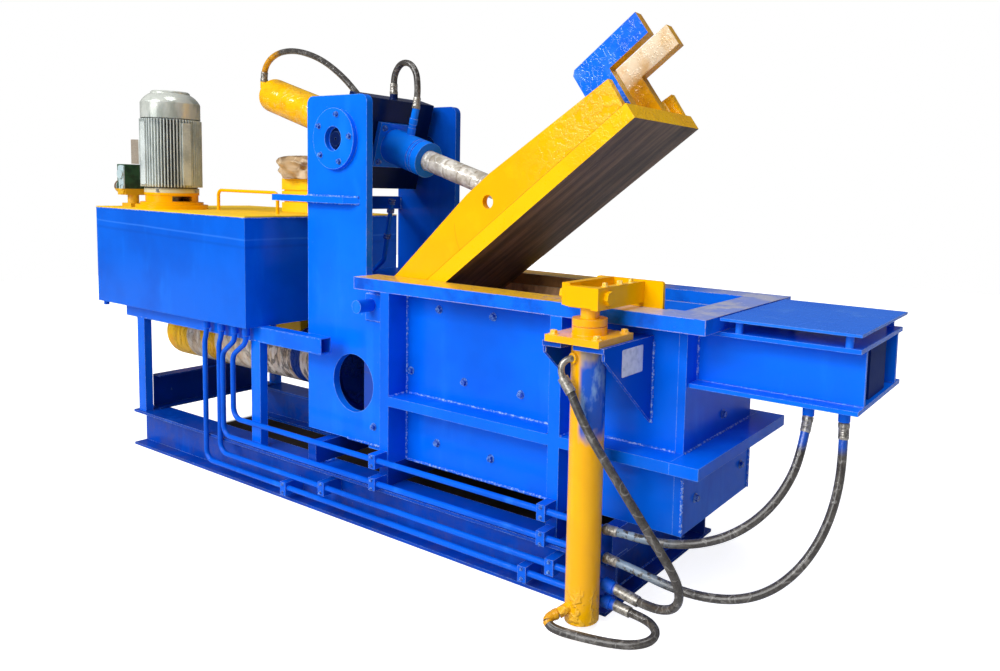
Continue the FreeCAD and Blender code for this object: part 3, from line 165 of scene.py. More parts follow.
class Finish(Tree):
    """A material under construction: its shader, the object's own coordinates, and masks drawn from them."""

    def __init__(self, name):
        self.material = bpy.data.materials.new(name)
        self.material.use_nodes = True
        super().__init__(self.material.node_tree)
        self.shader = self.tree.nodes["Principled BSDF"]
        self.made = {}

    def once(self, key, *how):
        if key not in self.made:
            self.made[key] = self.node(*how)
        return self.made[key]

    def place(self):
        """The point on the object, in metres."""
        return self.once("place", "ShaderNodeTexCoord", {}, {}, "Object")

    def along(self, axis):
        """How far along X, Y or Z the point is."""
        return self.once("along" + axis, "ShaderNodeSeparateXYZ", {}, {0: self.place()}, axis)

    x = property(lambda self: self.along("X"))
    y = property(lambda self: self.along("Y"))
    z = property(lambda self: self.along("Z"))

    def out(self):
        """The way the surface faces."""
        return self.once("out", "ShaderNodeTexCoord", {}, {}, "Normal")

    def facing(self, axis):
        """How far the surface faces along X, Y or Z, from -1 to 1."""
        return self.once("facing" + axis, "ShaderNodeSeparateXYZ", {}, {0: self.out()}, axis)

    def reach(self, what, way):
        """How far a point or a direction reaches along another direction."""
        return self.node("ShaderNodeVectorMath", {"operation": "DOT_PRODUCT"}, {0: what, 1: way}, "Value")

    def noise(self, scale, detail=3.0, roughness=0.5, stretch=None, where=None):
        """Cloudy noise from 0 to 1. stretch scales each direction, for streaks and grain."""
        where = where or self.place()
        if stretch:
            where = self.node("ShaderNodeVectorMath", {"operation": "MULTIPLY"}, {0: where, 1: stretch})
        return self.node("ShaderNodeTexNoise", {}, {"Vector": where, "Scale": scale, "Detail": detail,
                                                    "Roughness": roughness})

    def ramp(self, value, *stops):
        return self.node("ShaderNodeValToRGB", {"stops": [(place, tint(c)) for place, c in stops]}, {"Fac": value})

    def mix(self, share, first, second):
        """Blend two colours."""
        return self.node("ShaderNodeMix", {"data_type": "RGBA"},
                         {"Factor": share, 6: tint(first), 7: tint(second)}, 2)

    def paint(self, colour, *coats):
        """A colour with others laid over it in turn, each with its share first."""
        for share, over in coats:
            colour = self.mix(share, colour, over)
        return colour

    def edges(self, radius):
        """Near 1 along the object's outer edges, within a radius in metres, and 0 elsewhere."""
        soft = self.node("ShaderNodeBevel", {"samples": 4}, {"Radius": radius})
        sharp = self.node("ShaderNodeNewGeometry", {}, {}, "Normal")
        return (1.0 - self.reach(soft, sharp)).step(0.02, 0.2)

    def creases(self, scale, detail=3.0, width=0.16, stretch=None):
        """Thin winding ridges from 0 to 1, as in wrinkled paint, film and paper."""
        return abs(self.noise(scale, detail, 0.55, stretch) * 2.0 - 1.0).step(width, 0.0)

    def set(self, colour=None, shine=None, bump=None, **values):
        """Set the shader's own sockets. Names use _ for a space.

        colour is a colour and the coats over it. bump is a height of 0 to 1, a distance in metres and a strength.
        """
        if colour:
            values["Base_Color"] = self.paint(*colour)
        if shine is not None:
            values["Specular_IOR_Level"] = shine
        if bump:
            values["Normal"] = self.node("ShaderNodeBump", {}, dict(zip(("Height", "Distance", "Strength"), bump)))
        for name, value in values.items():
            self.feed(self.shader.inputs[name.replace("_", " ")], value)
        return self

    def coat(self, *nodes):
        """Put the finish on whole CAD parts."""
        for name in nodes:
            for slot in frame["nodes"][name].material_slots:
                slot.material = self.material


floor_mesh = bpy.data.meshes.new("studio_floor")
floor_mesh.from_pydata([(-12, -9, 0), (10, -9, 0), (10, 12, 0), (-12, 12, 0)], [], [(0, 1, 2, 3)])
put("studio_floor", floor_mesh)
floor = Finish("studio_floor")
floor_mesh.materials.append(floor.material)
seen = floor.node("ShaderNodeLightPath", {}, {}, "Is Camera Ray")
shaded = abs(floor.y).step(0.46, 0.40) * abs(floor.x + 1.625).step(1.70, 1.64)
pale_ground = (206.41438, 206.41438, 206.41438)
# Between the beams the floor is painted dark brown as a painted shadow, and its glow is turned off there.
painted_shadow_ground = floor.mix(floor.noise(6.0, 4, 0.6), (30, 26, 24), (66, 58, 52))
floor.set(colour=(pale_ground, (shaded, painted_shadow_ground)), Roughness=0.9, shine=0.0)
glow = floor.node("ShaderNodeEmission", {}, {"Color": (1, 1, 1), "Strength": 0.85 * seen * (1.0 - shaded)})
both = floor.node("ShaderNodeAddShader", {}, {0: Wire(floor, floor.shader.outputs[0]), 1: glow})
floor.feed(floor.tree.nodes["Material Output"].inputs["Surface"], both)

world = bpy.data.worlds.new("surround")
bpy.context.scene.world = world
world.use_nodes = True
surround = Tree(world.node_tree)
background = world.node_tree.nodes["Background"].inputs
surround.feed(background["Color"], (1, 1, 1))
surround.feed(background["Strength"], 0.15 + 0.85 * surround.node("ShaderNodeLightPath", {}, {}, "Is Camera Ray"))


def lamp(name, kind, direction, power):
    """A lamp that shines in one direction."""
    light = bpy.data.lights.new(name, kind)
    light.energy = power
    stand = put(name, light)
    stand.rotation_mode = "QUATERNION"
    stand.rotation_quaternion = Vector(direction).to_track_quat("-Z", "Y")
    return stand


for name, direction, power, spread in (("key", (0.10, 0.84, -0.53), 1.88, 0.7),
                                       ("low", (0.12, 0.98, -0.12), 0.46, 0.5),
                                       ("glint", (0.5, 0.7, -0.5), 0.5, 0.12),
                                       ("above", (-0.2, 0.1, -0.97), 1.05, 0.4)):
    lamp(name, "SUN", direction, power).data.angle = spread
strip = lamp("strip", "AREA", (0.0, 0.75, -0.65), 26.0)
strip.location = (-1.2, -2.6, 3.2)
strip.data.shape = "RECTANGLE"
strip.data.size, strip.data.size_y = 5.0, 0.2


# --------------------
# Base frame. Two rolled H beams carry the machine, with a cross member and
# four cross bars welded between them. The paint is blue machine enamel, put
# on thick by brush and spray, so it runs, ripples and chips along the edges.
body_of = {node: body for body, nodes in frame["record"]["behaviour"]["bodies"].items() for node in nodes}


def at(x, y, z):
    """A point of the machine's drawing, in millimetres from the tank end, in the frame's metres."""
    return Vector(((x - 3363.0) / 1000.0, y / 1000.0, z / 1000.0))


def enamel(name, base, deep, pale, bare, wear=0.6, gloss=0.12, ripple=1.0, soil=0.0):
    """Machine enamel over plate: cloudy where it was dusted on, streaked by the brush, with a painted highlight along
    every edge, and worn through in places there.
    """
    f = Finish(name)
    cloud = f.noise(1.6, 4, 0.55)
    runs = f.noise(6.0, 4, 0.6, (1, 1, 0.25))
    grain = f.noise(55.0, 4, 0.65)
    edge = f.edges(0.004)
    rub = edge * (grain + 0.5 * runs).step(0.62, 0.86)
    chips = f.noise(31.0, 6, 0.72).step(0.685, 0.70) * cloud.step(0.47, 0.6)
    # Along every edge the colour goes part way to a pale tone as a painted highlight; the rubbed and chipped spots
    # are wear.
    colour = f.paint(base, (0.6 * cloud.step(0.40, 0.68), deep), (0.35 * runs.step(0.54, 0.72), pale),
                     (0.4 * edge, f.mix(0.5, pale, bare)), (wear * rub, bare), (wear * 0.7 * chips, bare))
    if soil:
        low = f.z.step(0.30, 0.02)
        colour = f.mix(soil * low * f.noise(9.0, 5, 0.7).step(0.42, 0.66), colour, (96, 82, 66))
    height = 0.55 * runs + 0.3 * f.noise(14.0, 3) + 0.15 * grain - 0.25 * chips
    return f.set(Base_Color=colour, Roughness=gloss + 0.12 * cloud + 0.1 * grain + 0.2 * rub,
                 shine=0.15, bump=(height, 0.0035 * ripple, 0.55))


blue = enamel("blue_enamel", (0, 110, 246), (0, 82, 204), (20, 130, 255), (150, 190, 232))
# The beams' blue is darker than the frame's, as painted shade.
enamel("base_enamel", (0, 74, 190), (0, 50, 144), (14, 100, 224), (150, 185, 225), wear=0.7, soil=0.25).coat(
    "base_beam_near", "base_beam_far", "base_cross_members")


def piece(name, mesh, body):
    """A finished piece that rides on a body."""
    made = put(name, mesh)
    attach(made, body)
    return made


class Kit(Tree):
    """A Geometry Nodes group that makes one kind of small part along lines or at points, with named sizes."""

    def __init__(self, name, **sizes):
        super().__init__(bpy.data.node_groups.new(name, "GeometryNodeTree"))
        sockets = self.tree.interface
        sockets.new_socket("Lines", in_out="INPUT", socket_type="NodeSocketGeometry")
        sockets.new_socket("Finish", in_out="INPUT", socket_type="NodeSocketMaterial")
        for size, value in sizes.items():
            sockets.new_socket(size, in_out="INPUT", socket_type="NodeSocketFloat").default_value = value
        sockets.new_socket("Made", in_out="OUTPUT", socket_type="NodeSocketGeometry")
        self.entry = self.tree.nodes.new("NodeGroupInput")
        self.exit = self.tree.nodes.new("NodeGroupOutput")

    def size(self, name):
        return Wire(self, self.entry.outputs[name])

    def tube(self, line, sides, radius, more):
        """End the tree with a smooth tube along a line."""
        ring = self.node("GeometryNodeCurvePrimitiveCircle", {}, {"Resolution": sides, "Radius": radius})
        tube = self.node("GeometryNodeCurveToMesh", {}, {"Curve": line, "Profile Curve": ring, **more})
        self.close(self.node("GeometryNodeSetShadeSmooth", {}, {"Geometry": tube, "Shade Smooth": True}))

    def close(self, shape):
        """End the tree: real faces instead of instances, in one finish."""
        whole = self.node("GeometryNodeRealizeInstances", {}, {"Geometry": shape})
        dressed = self.node("GeometryNodeSetMaterial", {}, {"Geometry": whole, "Material": self.size("Finish")})
        self.feed(self.exit.inputs["Made"], dressed)

    def make(self, name, seed, finish, body="frame", slot="blue", **sizes):
        """Run the group on points or lines and keep the result as a plain piece."""
        points, pairs, outs = seed
        mesh = bpy.data.meshes.new(name)
        mesh.from_pydata([tuple(point) for point in points], pairs, [])
        if outs:
            facing = mesh.attributes.new("out", "FLOAT_VECTOR", "POINT")
            for item, out in zip(facing.data, outs):
                item.vector = out
        bare = put(name + "_seed", mesh)
        modifier = bare.modifiers.new("kit", "NODES")
        modifier.node_group = self.tree
        values = {"Finish": finish.material, **sizes}
        for item in self.tree.interface.items_tree:
            if item.in_out == "INPUT" and item.name in values:
                modifier[item.identifier] = values[item.name]
        graph = bpy.context.evaluated_depsgraph_get()
        made = bpy.data.meshes.new_from_object(bare.evaluated_get(graph), depsgraph=graph)
        bpy.data.objects.remove(bare)
        return piece(name, made, body)


def lines(paths):
    """Bare lines for a kit, one for each list of points."""
    points, pairs = [], []
    for path in paths:
        first = len(points)
        points.extend(path)
        pairs.extend((i, i + 1) for i in range(first, len(points) - 1))
    return points, pairs, None


def inside_corners(*nodes):
    """The lines where two plates of one CAD part meet in an inner corner, which is where it is welded."""
    found = []
    for node in nodes:
        copy = bmesh.new()
        copy.from_mesh(frame["nodes"][node].data)
        bmesh.ops.remove_doubles(copy, verts=copy.verts, dist=1e-5)
        for edge in copy.edges:
            if len(edge.link_faces) == 2 and edge.calc_length() >= 0.02 and edge.calc_face_angle_signed(0.0) <= -1.0:
                found.append([v.co.copy() for v in edge.verts])
        copy.free()
    return found


def lumpy(name, paint, glint):
    """Paint over weld beads and bolt heads: rough underneath, with painted highlights on every small high spot and
    along the edges.
    """
    f = Finish(name)
    grain = f.noise(150.0, 2, 0.6)
    high = f.noise(80.0, 3, 0.7).step(0.50, 0.60)
    return f.set(colour=(paint, (0.7 * high, glint), (f.edges(0.002), glint)),
                 Roughness=0.14 + 0.2 * grain, shine=0.5, bump=(grain, 0.002, 0.6))


# A weld bead: a bent tube with ripples a few millimetres apart, laid along lines.
bead = Kit("weld_bead", Width=0.007, Ripple=0.002, Pitch=0.006)
bead_line = bead.node("GeometryNodeMeshToCurve", {}, {"Mesh": bead.size("Lines")})
bead_line = bead.node("GeometryNodeResampleCurve", {"mode": "LENGTH"},
                      {"Curve": bead_line, "Length": bead.size("Pitch")})
bead_where = bead.node("GeometryNodeInputPosition", {}, {})
bead_noise = bead.node("ShaderNodeTexNoise", {}, {"Vector": bead_where, "Scale": 75.0, "Detail": 1.0})
bead.tube(bead_line, 6, 1.0, {"Scale": bead.size("Width") + bead.size("Ripple") * (bead_noise * 2.0 - 1.0)})

bar_ends = [[at(x, side * 392, 216), at(x, side * 326, 216)] for side in (-1, 1) for x in (1640, 1716)]
blue_bead = lumpy("blue_bead", (14, 104, 236), (176, 208, 244))
bead.make("base_welds", lines(inside_corners("base_cross_members") + bar_ends), blue_bead)

# --------------------
# Tank and stands. The oil tank is folded from 6 mm sheet and welded along
# its corners. It stands on two frames of box posts with an open rail, and a
# channel between them carries the rear end of the main cylinder.
tank = enamel("tank_enamel", (0, 102, 230), (0, 78, 196), (16, 122, 246), (120, 165, 215), wear=0.4, gloss=0.1,
              ripple=0.8)
# A thin lighter line along the top bend is a painted highlight, and the darker band just below it is painted shade.
fold = tank.z + 0.026 * tank.x + 0.008 * tank.noise(3.0, 2)
tank_colour = Wire(tank, tank.shader.inputs["Base Color"].links[0].from_socket)
tank.set(
    colour=(tank_colour, (0.35 * abs(fold - 1.256).step(0.008, 0.0), (70, 150, 255)),
            (0.30 * abs(fold - 1.218).step(0.014, 0.0), (2, 70, 180)))).coat("oil_tank")
blue.coat("tank_stand_near", "tank_stand_far")
enamel("deep_blue_enamel", (4, 60, 165), (3, 44, 122), (20, 92, 210), (110, 135, 170)).coat("rear_support")

low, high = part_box("oil_tank")
tank_rim = [(x, y, high.z - 0.001) for x, y in ((low.x, low.y), (high.x, low.y), (high.x, high.y), (low.x, high.y),
                                                (low.x, low.y))]
bead.make("tank_welds", lines([tank_rim]), blue_bead, Width=0.003, Ripple=0.001)
bead.make("stand_welds", lines(inside_corners("tank_stand_near", "tank_stand_far")), blue_bead, Width=0.0055)

# --------------------
# Tank top and handle. The lid sheet and the bar handle are painted yellow.
# Oil and dust lie on the sheet, more of it near the valves.
yellow_tones = ((255, 190, 0), (250, 178, 0), (255, 203, 10), (190, 140, 48))
yellow = enamel("yellow_enamel", *yellow_tones, wear=0.5)
yellow.coat("tank_handle")
dusty = Finish("dusty_yellow")
dust = dusty.noise(3.2, 5, 0.65)
stains = dusty.noise(24.0, 5, 0.7).step(0.50, 0.72)
dusty.set(
    colour=((255, 208, 14), (dust.step(0.36, 0.66), (246, 200, 56)), (0.3 * stains, (176, 140, 70))),
    Roughness=0.42 + 0.3 * dust, shine=0.25, bump=(dust + 0.2 * stains, 0.002, 0.5)).coat("tank_top")

# --------------------
# Motor. A cast iron frame with sixty fins and a drawn sheet cowl, sprayed
# grey green, stands on a turned bell on the tank. Its rotor, shaft, fan and
# coupling are machined steel. The terminal box on the rear is dusty brown.
bell = enamel("bell_enamel", *yellow_tones, wear=0.4, gloss=0.08, ripple=2.0)
bell.coat("bell_housing")

motor = Finish("motor_enamel")
motor_stand = (276, -334)
middle = at(*motor_stand, 0)
motor_x, motor_y, motor_z = motor.x - middle.x, motor.y - middle.y, motor.z
motor_r = (motor_x * motor_x + motor_y * motor_y).root()
motor_grain = motor.noise(120.0, 3, 0.6)
motor_cloud = motor.noise(8.0, 4, 0.6)
# The gaps between the fins are painted near black as painted shade.
fin_gap_shade = motor_r.step(0.146, 0.138) * motor_z.step(1.530, 1.545) * motor_z.step(1.940, 1.930)
terminal_box = motor_r.step(0.166, 0.172) * motor_z.step(1.55, 1.56)
motor_rub = motor.edges(0.002) * motor_grain.step(0.4, 0.6)
motor.set(
    colour=((218, 226, 222), (motor_cloud.step(0.4, 0.7), (180, 190, 188)),
            (motor_z.step(1.575, 1.545) * 0.7, (226, 212, 160)), (0.9 * fin_gap_shade, (34, 36, 34)),
            (0.85 * terminal_box, (128, 104, 74)), (0.6 * motor_rub, (215, 215, 208))),
    Roughness=0.16 + 0.2 * motor_grain, shine=0.6, bump=(motor_grain * 0.5 + motor_cloud, 0.0012, 0.6))
motor.coat("motor_housing")

cowl = Finish("cowl_enamel")
cowl_grain = cowl.noise(90.0, 3, 0.6)
dents = cowl.noise(11.0, 3, 0.55, (1, 1, 0.5))
cowl.set(
    colour=((222, 226, 218), (dents.step(0.42, 0.62), (180, 188, 180)), (0.5 * cowl.edges(0.003), (224, 224, 216))),
    Roughness=0.12 + 0.15 * cowl_grain, Metallic=0.25, shine=0.6,
    bump=(dents + 0.05 * cowl_grain, 0.006, 0.6)).coat("motor_fan_cowl")

steel = Finish("machined_steel")
turning = steel.noise(60.0, 4, 0.6, (1, 1, 6))
steel.set(
    colour=((176, 176, 174), (steel.noise(9.0, 3).step(0.35, 0.7), (138, 136, 132)),
            (0.5 * steel.noise(40.0, 5, 0.7).step(0.56, 0.66), (118, 98, 78))),
    Roughness=0.25 + 0.3 * turning, Metallic=0.85, bump=(turning, 0.0006, 0.5)).coat("motor_rotor")

# --------------------
# Bolts. Hexagon heads with washers and a little of the thread showing, each
# turned as it happened to stop, painted over with their plate.
bolt = Kit("hexagon_bolt", Head=0.017, Height=0.012, Washer=0.022, Stud=0.007)
washer = bolt.node("GeometryNodeMeshCylinder", {}, {"Vertices": 20, "Radius": bolt.size("Washer"), "Depth": 0.004})
head = bolt.node("GeometryNodeMeshCone", {}, {"Vertices": 6, "Radius Top": bolt.size("Head") * 0.93,
                                              "Radius Bottom": bolt.size("Head"), "Depth": bolt.size("Height")})
head = bolt.node("GeometryNodeTransform", {}, {"Geometry": head, "Translation": (0.0, 0.0, 0.002)})
stud = bolt.node("GeometryNodeMeshCylinder", {}, {"Vertices": 12, "Radius": bolt.size("Head") * 0.5,
                                                  "Depth": bolt.size("Stud")})
stud_up = bolt.node("ShaderNodeCombineXYZ", {}, {"Z": bolt.size("Height")})
stud = bolt.node("GeometryNodeTransform", {}, {"Geometry": stud, "Translation": stud_up})
shape = bolt.node("GeometryNodeJoinGeometry", {}, {"Geometry": [washer, head, stud]})
out = bolt.node("GeometryNodeInputNamedAttribute", {"data_type": "FLOAT_VECTOR"}, {"Name": "out"})
lean = bolt.node("FunctionNodeAlignRotationToVector", {"axis": "Z"}, {"Vector": out})
spin = bolt.node("FunctionNodeRandomValue", {"data_type": "FLOAT"}, {"Max": 6.283, "Seed": 4}, 1)
spin = bolt.node("FunctionNodeAxisAngleToRotation", {}, {"Axis": (0.0, 0.0, 1.0), "Angle": spin})
lean = bolt.node("FunctionNodeRotateRotation", {"rotation_space": "LOCAL"}, {"Rotation": lean, "Rotate By": spin})
bolt.close(bolt.node("GeometryNodeInstanceOnPoints", {}, {"Points": bolt.size("Lines"), "Instance": shape,
                                                          "Rotation": lean}))


def spots(places):
    """Points for a kit of bolts. Each place is a point and the way the bolt faces."""
    return [point for point, out in places], [], [out for point, out in places]


def ring(x, y, z, radius, count, start, out):
    """Places round a flange: its centre in the drawing's millimetres, and the way the bolts face."""
    places = []
    for i in range(count):
        angle = math.radians(start + 360.0 * i / count)
        side, up = radius * math.cos(angle), radius * math.sin(angle)
        places.append((at(x + side, y + up, z) if out[2] else at(x + side, y, z + up), out))
    return places


bolt.make("bell_bolts", spots(ring(*motor_stand, 1434, 168, 8, 22, (0, 0, 1))), bell, slot="yellow", Head=0.012,
          Washer=0.015)
bolt.make("motor_flange_bolts", spots(ring(*motor_stand, 1527, 136, 4, 30, (0, 0, 1))), steel, slot="motor_green",
          Head=0.011, Washer=0.013)

# --------------------
# Valves. A bored manifold with three solenoid valves, and a green relief valve
# with a pale cover plate. Brown paper for painting is gathered over the three
# in a knot, and its folds run out from there.
dusty.coat("valve_manifold")
paper = Finish("wrapping_paper")
paper_fold_and_shade = paper.noise(8.0, 3, 0.5)
paper_crease_and_highlight = paper.creases(6.5, 2, 0.12)
# The paper is dark brown in the hollows of its folds and paler on the ridges, as painted shade, and its crease lines
# carry a painted highlight.
paper.set(
    colour=((112, 82, 52), (paper_fold_and_shade.step(0.36, 0.62), (188, 160, 122)), (0.45 * paper_crease_and_highlight, (240, 222, 192))),
    Roughness=0.38 + 0.2 * paper_fold_and_shade, shine=0.35, bump=(paper_fold_and_shade + 0.5 * paper_crease_and_highlight, 0.008, 0.6))
paper.coat("directional_valves")


def solid(name, shape, finish, body):
    """A piece from a finished bmesh, in one finish."""
    mesh = bpy.data.meshes.new(name)
    shape.to_mesh(mesh)
    shape.free()
    mesh.materials.append(finish.material)
    return piece(name, mesh, body)


valves_low, valves_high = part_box("directional_valves")
block_low, block_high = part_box("valve_manifold")
bundle_low = Vector((min(valves_low.x, block_low.x) - 0.030, min(valves_low.y, block_low.y) - 0.025,
                     valves_low.z - 0.050))
bundle_high = Vector((max(valves_high.x, block_high.x) + 0.020, max(valves_high.y, block_high.y) + 0.010,
                      valves_high.z + 0.045))
knot = Vector((-0.62, -0.45, 0.64)).normalized()
knot_side = knot.cross(Vector((0.0, 0.0, 1.0))).normalized()
knot_up = knot.cross(knot_side)
bundle = bmesh.new()
bmesh.ops.create_icosphere(bundle, subdivisions=5, radius=1.0)
for vertex in bundle.verts:
    way = vertex.co.copy()
    square = max(abs(way.x) ** 5 + abs(way.y) ** 5 + abs(way.z) ** 5, 1e-6) ** 0.2
    round_knot = math.atan2(way.dot(knot_up), way.dot(knot_side)) + 0.9 * noise.noise(way * 1.3)
    away = math.sqrt(max(0.0, 1.0 - way.dot(knot) ** 2))
    pleat = away * (abs(math.sin(3.5 * round_knot)) - 0.5)
    pleat += 0.7 * away * (abs(math.sin(7.5 * round_knot + 1.3)) - 0.5) * max(0.0, noise.noise(way * 2.1) + 0.3)
    swell = 0.97 - 0.15 * pleat + 0.08 * noise.noise(way * 2.3) - 0.05 * away
    for i in range(3):
        share = 0.5 + 0.5 * min(1.0, max(-1.0, way[i] / square * swell))
        vertex.co[i] = bundle_low[i] + share * (bundle_high[i] - bundle_low[i])
    forward = (vertex.co.x - bundle_low.x) / (bundle_high.x - bundle_low.x)
    vertex.co.z = max(vertex.co.z - 0.040 * forward * max(0.0, way.z), valves_low.z + 0.001)
for face in bundle.faces:
    face.smooth = True
solid("valve_wrapping", bundle, paper, "frame")

relief = Finish("relief_valve_enamel")
relief_noise = relief.noise(22.0, 4, 0.6)
relief.set(
    colour=((40, 84, 56), (relief_noise.step(0.4, 0.66), (24, 56, 40)),
            (relief.y.step(-0.4505, -0.4515), (186, 206, 210)), (relief.x.step(-3.469, -3.472), (112, 84, 60)),
            (relief.z.step(1.535, 1.531), (226, 176, 24))),
    Roughness=0.34 + 0.2 * relief_noise, bump=(relief_noise, 0.0015, 0.5)).coat("relief_valve")

# --------------------
# Tower. Two flame-cut plates carry the lid cylinder's trunnions. A cross
# plate with its deck, a tie and two bolted bearing flanges join them.
# One paint in a shaded and a lit copy: the far plate and cross plate are a darker blue as painted shade, the near
# plate and both flanges a lighter blue as painted light.
enamel("tower_enamel", (4, 84, 204), (2, 60, 158), (24, 108, 230), (150, 185, 226), wear=0.8, ripple=1.2).coat(
    "tower_plate_far", "tower_cross_plate")
enamel("near_plate_enamel", (4, 118, 255), (2, 96, 228), (30, 138, 255), (170, 205, 245), wear=0.9, ripple=1.2).coat(
    "tower_plate_near", "trunnion_flange_near", "trunnion_flange_far")
blue_bolt = lumpy("blue_bolt", (4, 70, 178), (130, 176, 232))
bead.make("tower_welds", lines(inside_corners("tower_cross_plate", "tower_plate_near", "tower_plate_far")), blue_bead)
trunnion_x, trunnion_z = 1718, 1822
for side, hand in ((-1, "near"), (1, "far")):
    bolt.make("trunnion_bolts_" + hand, spots(ring(trunnion_x, side * 345, trunnion_z, 120, 5, 5, (0, side, 0))),
              blue_bolt, Head=0.012, Washer=0.015, Height=0.011, Stud=0.005)

# --------------------
# Return line. A bent tube drops behind the tower's tie from its union to the
# main cylinder. It is painted with the frame.
pipe = Kit("bent_tube", Radius=0.0115, Bend=0.05)
pipe_line = pipe.node("GeometryNodeMeshToCurve", {}, {"Mesh": pipe.size("Lines")})
pipe_line = pipe.node("GeometryNodeFilletCurve", {"mode": "POLY"},
                      {"Curve": pipe_line, "Count": 7, "Radius": pipe.size("Bend"), "Limit Radius": True})
pipe.tube(pipe_line, 20, pipe.size("Radius"), {"Fill Caps": True})
bends = [at(1756, 0, 1530), at(1740, 0, 1447), at(1696, 0, 1207), at(1620, 0, 1150)]
pipe.make("return_line", lines([bends]), blue)
unions = [[bends[i].lerp(bends[i + 1], a), bends[i].lerp(bends[i + 1], b)]
          for i, a, b in ((0, 0.0, 0.3), (0, 0.6, 0.85), (1, 0.42, 0.52))]
pipe.make("return_unions", lines(unions), blue_bolt, Radius=0.019)

# --------------------
# Lid cylinder. A yoke between the tower plates carries a yellow barrel on
# its rear and a blue gland on its front. The barrel was wrapped in film
# before it was painted, and the chromed rod is still in its wrapping.
# The yoke's blue is darkened to near navy as painted shade between the tower plates.
enamel("yoke_enamel", (3, 26, 80), (2, 18, 58), (10, 44, 112), (90, 116, 156), wear=0.8).coat("lid_cylinder_yoke")
# The gland and hinge pin get a brighter blue than the frame, as painted light on parts that sit in the tower's shade.
enamel("gland_enamel", (10, 126, 255), (4, 94, 220), (60, 150, 255), (170, 200, 240), wear=0.9).coat(
    "lid_cylinder_gland", "lid_hinge_pin")

slope = math.radians(16.4)
down_rod = (math.cos(slope), 0.0, -math.sin(slope))
gland_flange, bolt_reach = 55, 88
gland_places = [(at(trunnion_x + gland_flange * math.cos(slope) + up * math.sin(slope), side,
                    trunnion_z - gland_flange * math.sin(slope) + up * math.cos(slope)), down_rod)
                for side in (-bolt_reach, bolt_reach) for up in (-bolt_reach, bolt_reach)]
bolt.make("gland_bolts", spots(gland_places), blue_bolt, body_of["lid_cylinder_gland"], Head=0.013, Washer=0.016)

wrapped = Finish("wrapped_yellow")
wrap_wave = (wrapped.reach(wrapped.place(), down_rod) * 42.0 + 3.0 * wrapped.noise(4.0, 2)).sine()
wrap_crease = wrapped.noise(13.0, 5, 0.65)
wrap_crease_and_highlight = wrapped.creases(7.0, 3, 0.08)
wrap_dull = wrapped.noise(5.0, 4, 0.6).step(0.62, 0.68) * 0.5
# The crease lines in the film carry a faint painted highlight.
wrapped.set(
    colour=((255, 194, 0), (wrap_crease.step(0.46, 0.74), (240, 168, 0)),
            (wrap_dull, (214, 200, 160)), (0.10 * wrap_crease_and_highlight, (255, 236, 150))),
    Roughness=0.1 + 0.15 * wrap_crease, shine=0.5,
    bump=(0.6 * wrap_wave + 0.7 * wrap_crease + 0.4 * wrap_crease_and_highlight, 0.008, 0.5)).coat("lid_cylinder_barrel")

film = Finish("film_on_chrome")
film_turns = (film.reach(film.place(), down_rod) * 70.0 + 5.0 * film.noise(5.0, 3)).sine()
film_crease = film.noise(18.0, 4, 0.6)
film_crease_and_highlight = film.creases(12.0, 3, 0.10)
# The film's crease lines carry a painted highlight.
film.set(
    colour=((172, 164, 150), (film_crease.step(0.36, 0.64), (222, 216, 206)),
            (0.6 * film_turns.step(0.90, 1.0), (140, 126, 108)), (0.4 * film_crease_and_highlight, (250, 248, 242))),
    Roughness=0.12 + 0.2 * film_crease, Metallic=0.15, shine=0.6,
    bump=(0.3 * film_turns + film_crease + 0.6 * film_crease_and_highlight, 0.004, 0.7)).coat("lid_piston_rod")
steel.coat("lid_rod_pin")

# --------------------
# Pressing chamber. Thick side walls with welded ribs and a belt, a front wall
# and a floor. Long wear liners inside are held by bolts through the walls.
# The rim's rear half carries orange primer where the lid rubs.
wall = Finish("chamber_wall_enamel")
wall_cloud = wall.noise(1.3, 4, 0.55)
wall_runs = wall.noise(5.0, 4, 0.6, (1, 1, 0.2))
wall_grain = wall.noise(55.0, 4, 0.65)
wall_edge = wall.edges(0.004)
wall_rub = wall_edge * (wall_grain + 0.5 * wall_runs).step(0.60, 0.84)
wall_inner = abs(wall.y).step(0.290, 0.2865) * wall.x.step(0.300, 0.268)
rust = wall.noise(7.0, 5, 0.65, (1, 1, 0.4))
rusted = wall_inner * (wall.x + 0.15 * rust).step(-0.16, -0.30) * wall.x.step(-1.22, -1.20)
# A band along every edge is lightened as a painted highlight; the rubbed spots are wear. The rust inside is real, but
# its tones are far paler than rust, as painted light under the lid's shadow.
wall.set(
    colour=((0, 108, 244), (0.7 * wall_cloud.step(0.38, 0.66), (0, 82, 206)),
            (0.3 * wall_runs.step(0.54, 0.74), (40, 138, 255)), (0.4 * wall_edge, (96, 164, 245)),
            (0.6 * wall_rub, (140, 178, 220)),
            (rusted, wall.mix(rust.step(0.36, 0.66), (255, 206, 152), (186, 136, 96)))),
    Roughness=0.12 + 0.12 * wall_cloud + 0.1 * wall_grain + 0.3 * wall_inner, shine=0.15,
    bump=(0.6 * wall_runs + 0.25 * wall.noise(14.0, 3) + 0.15 * wall_grain, 0.0035, 0.55))
wall.coat("chamber_wall_near", "chamber_wall_far", "chamber_front_wall", "chamber_floor")

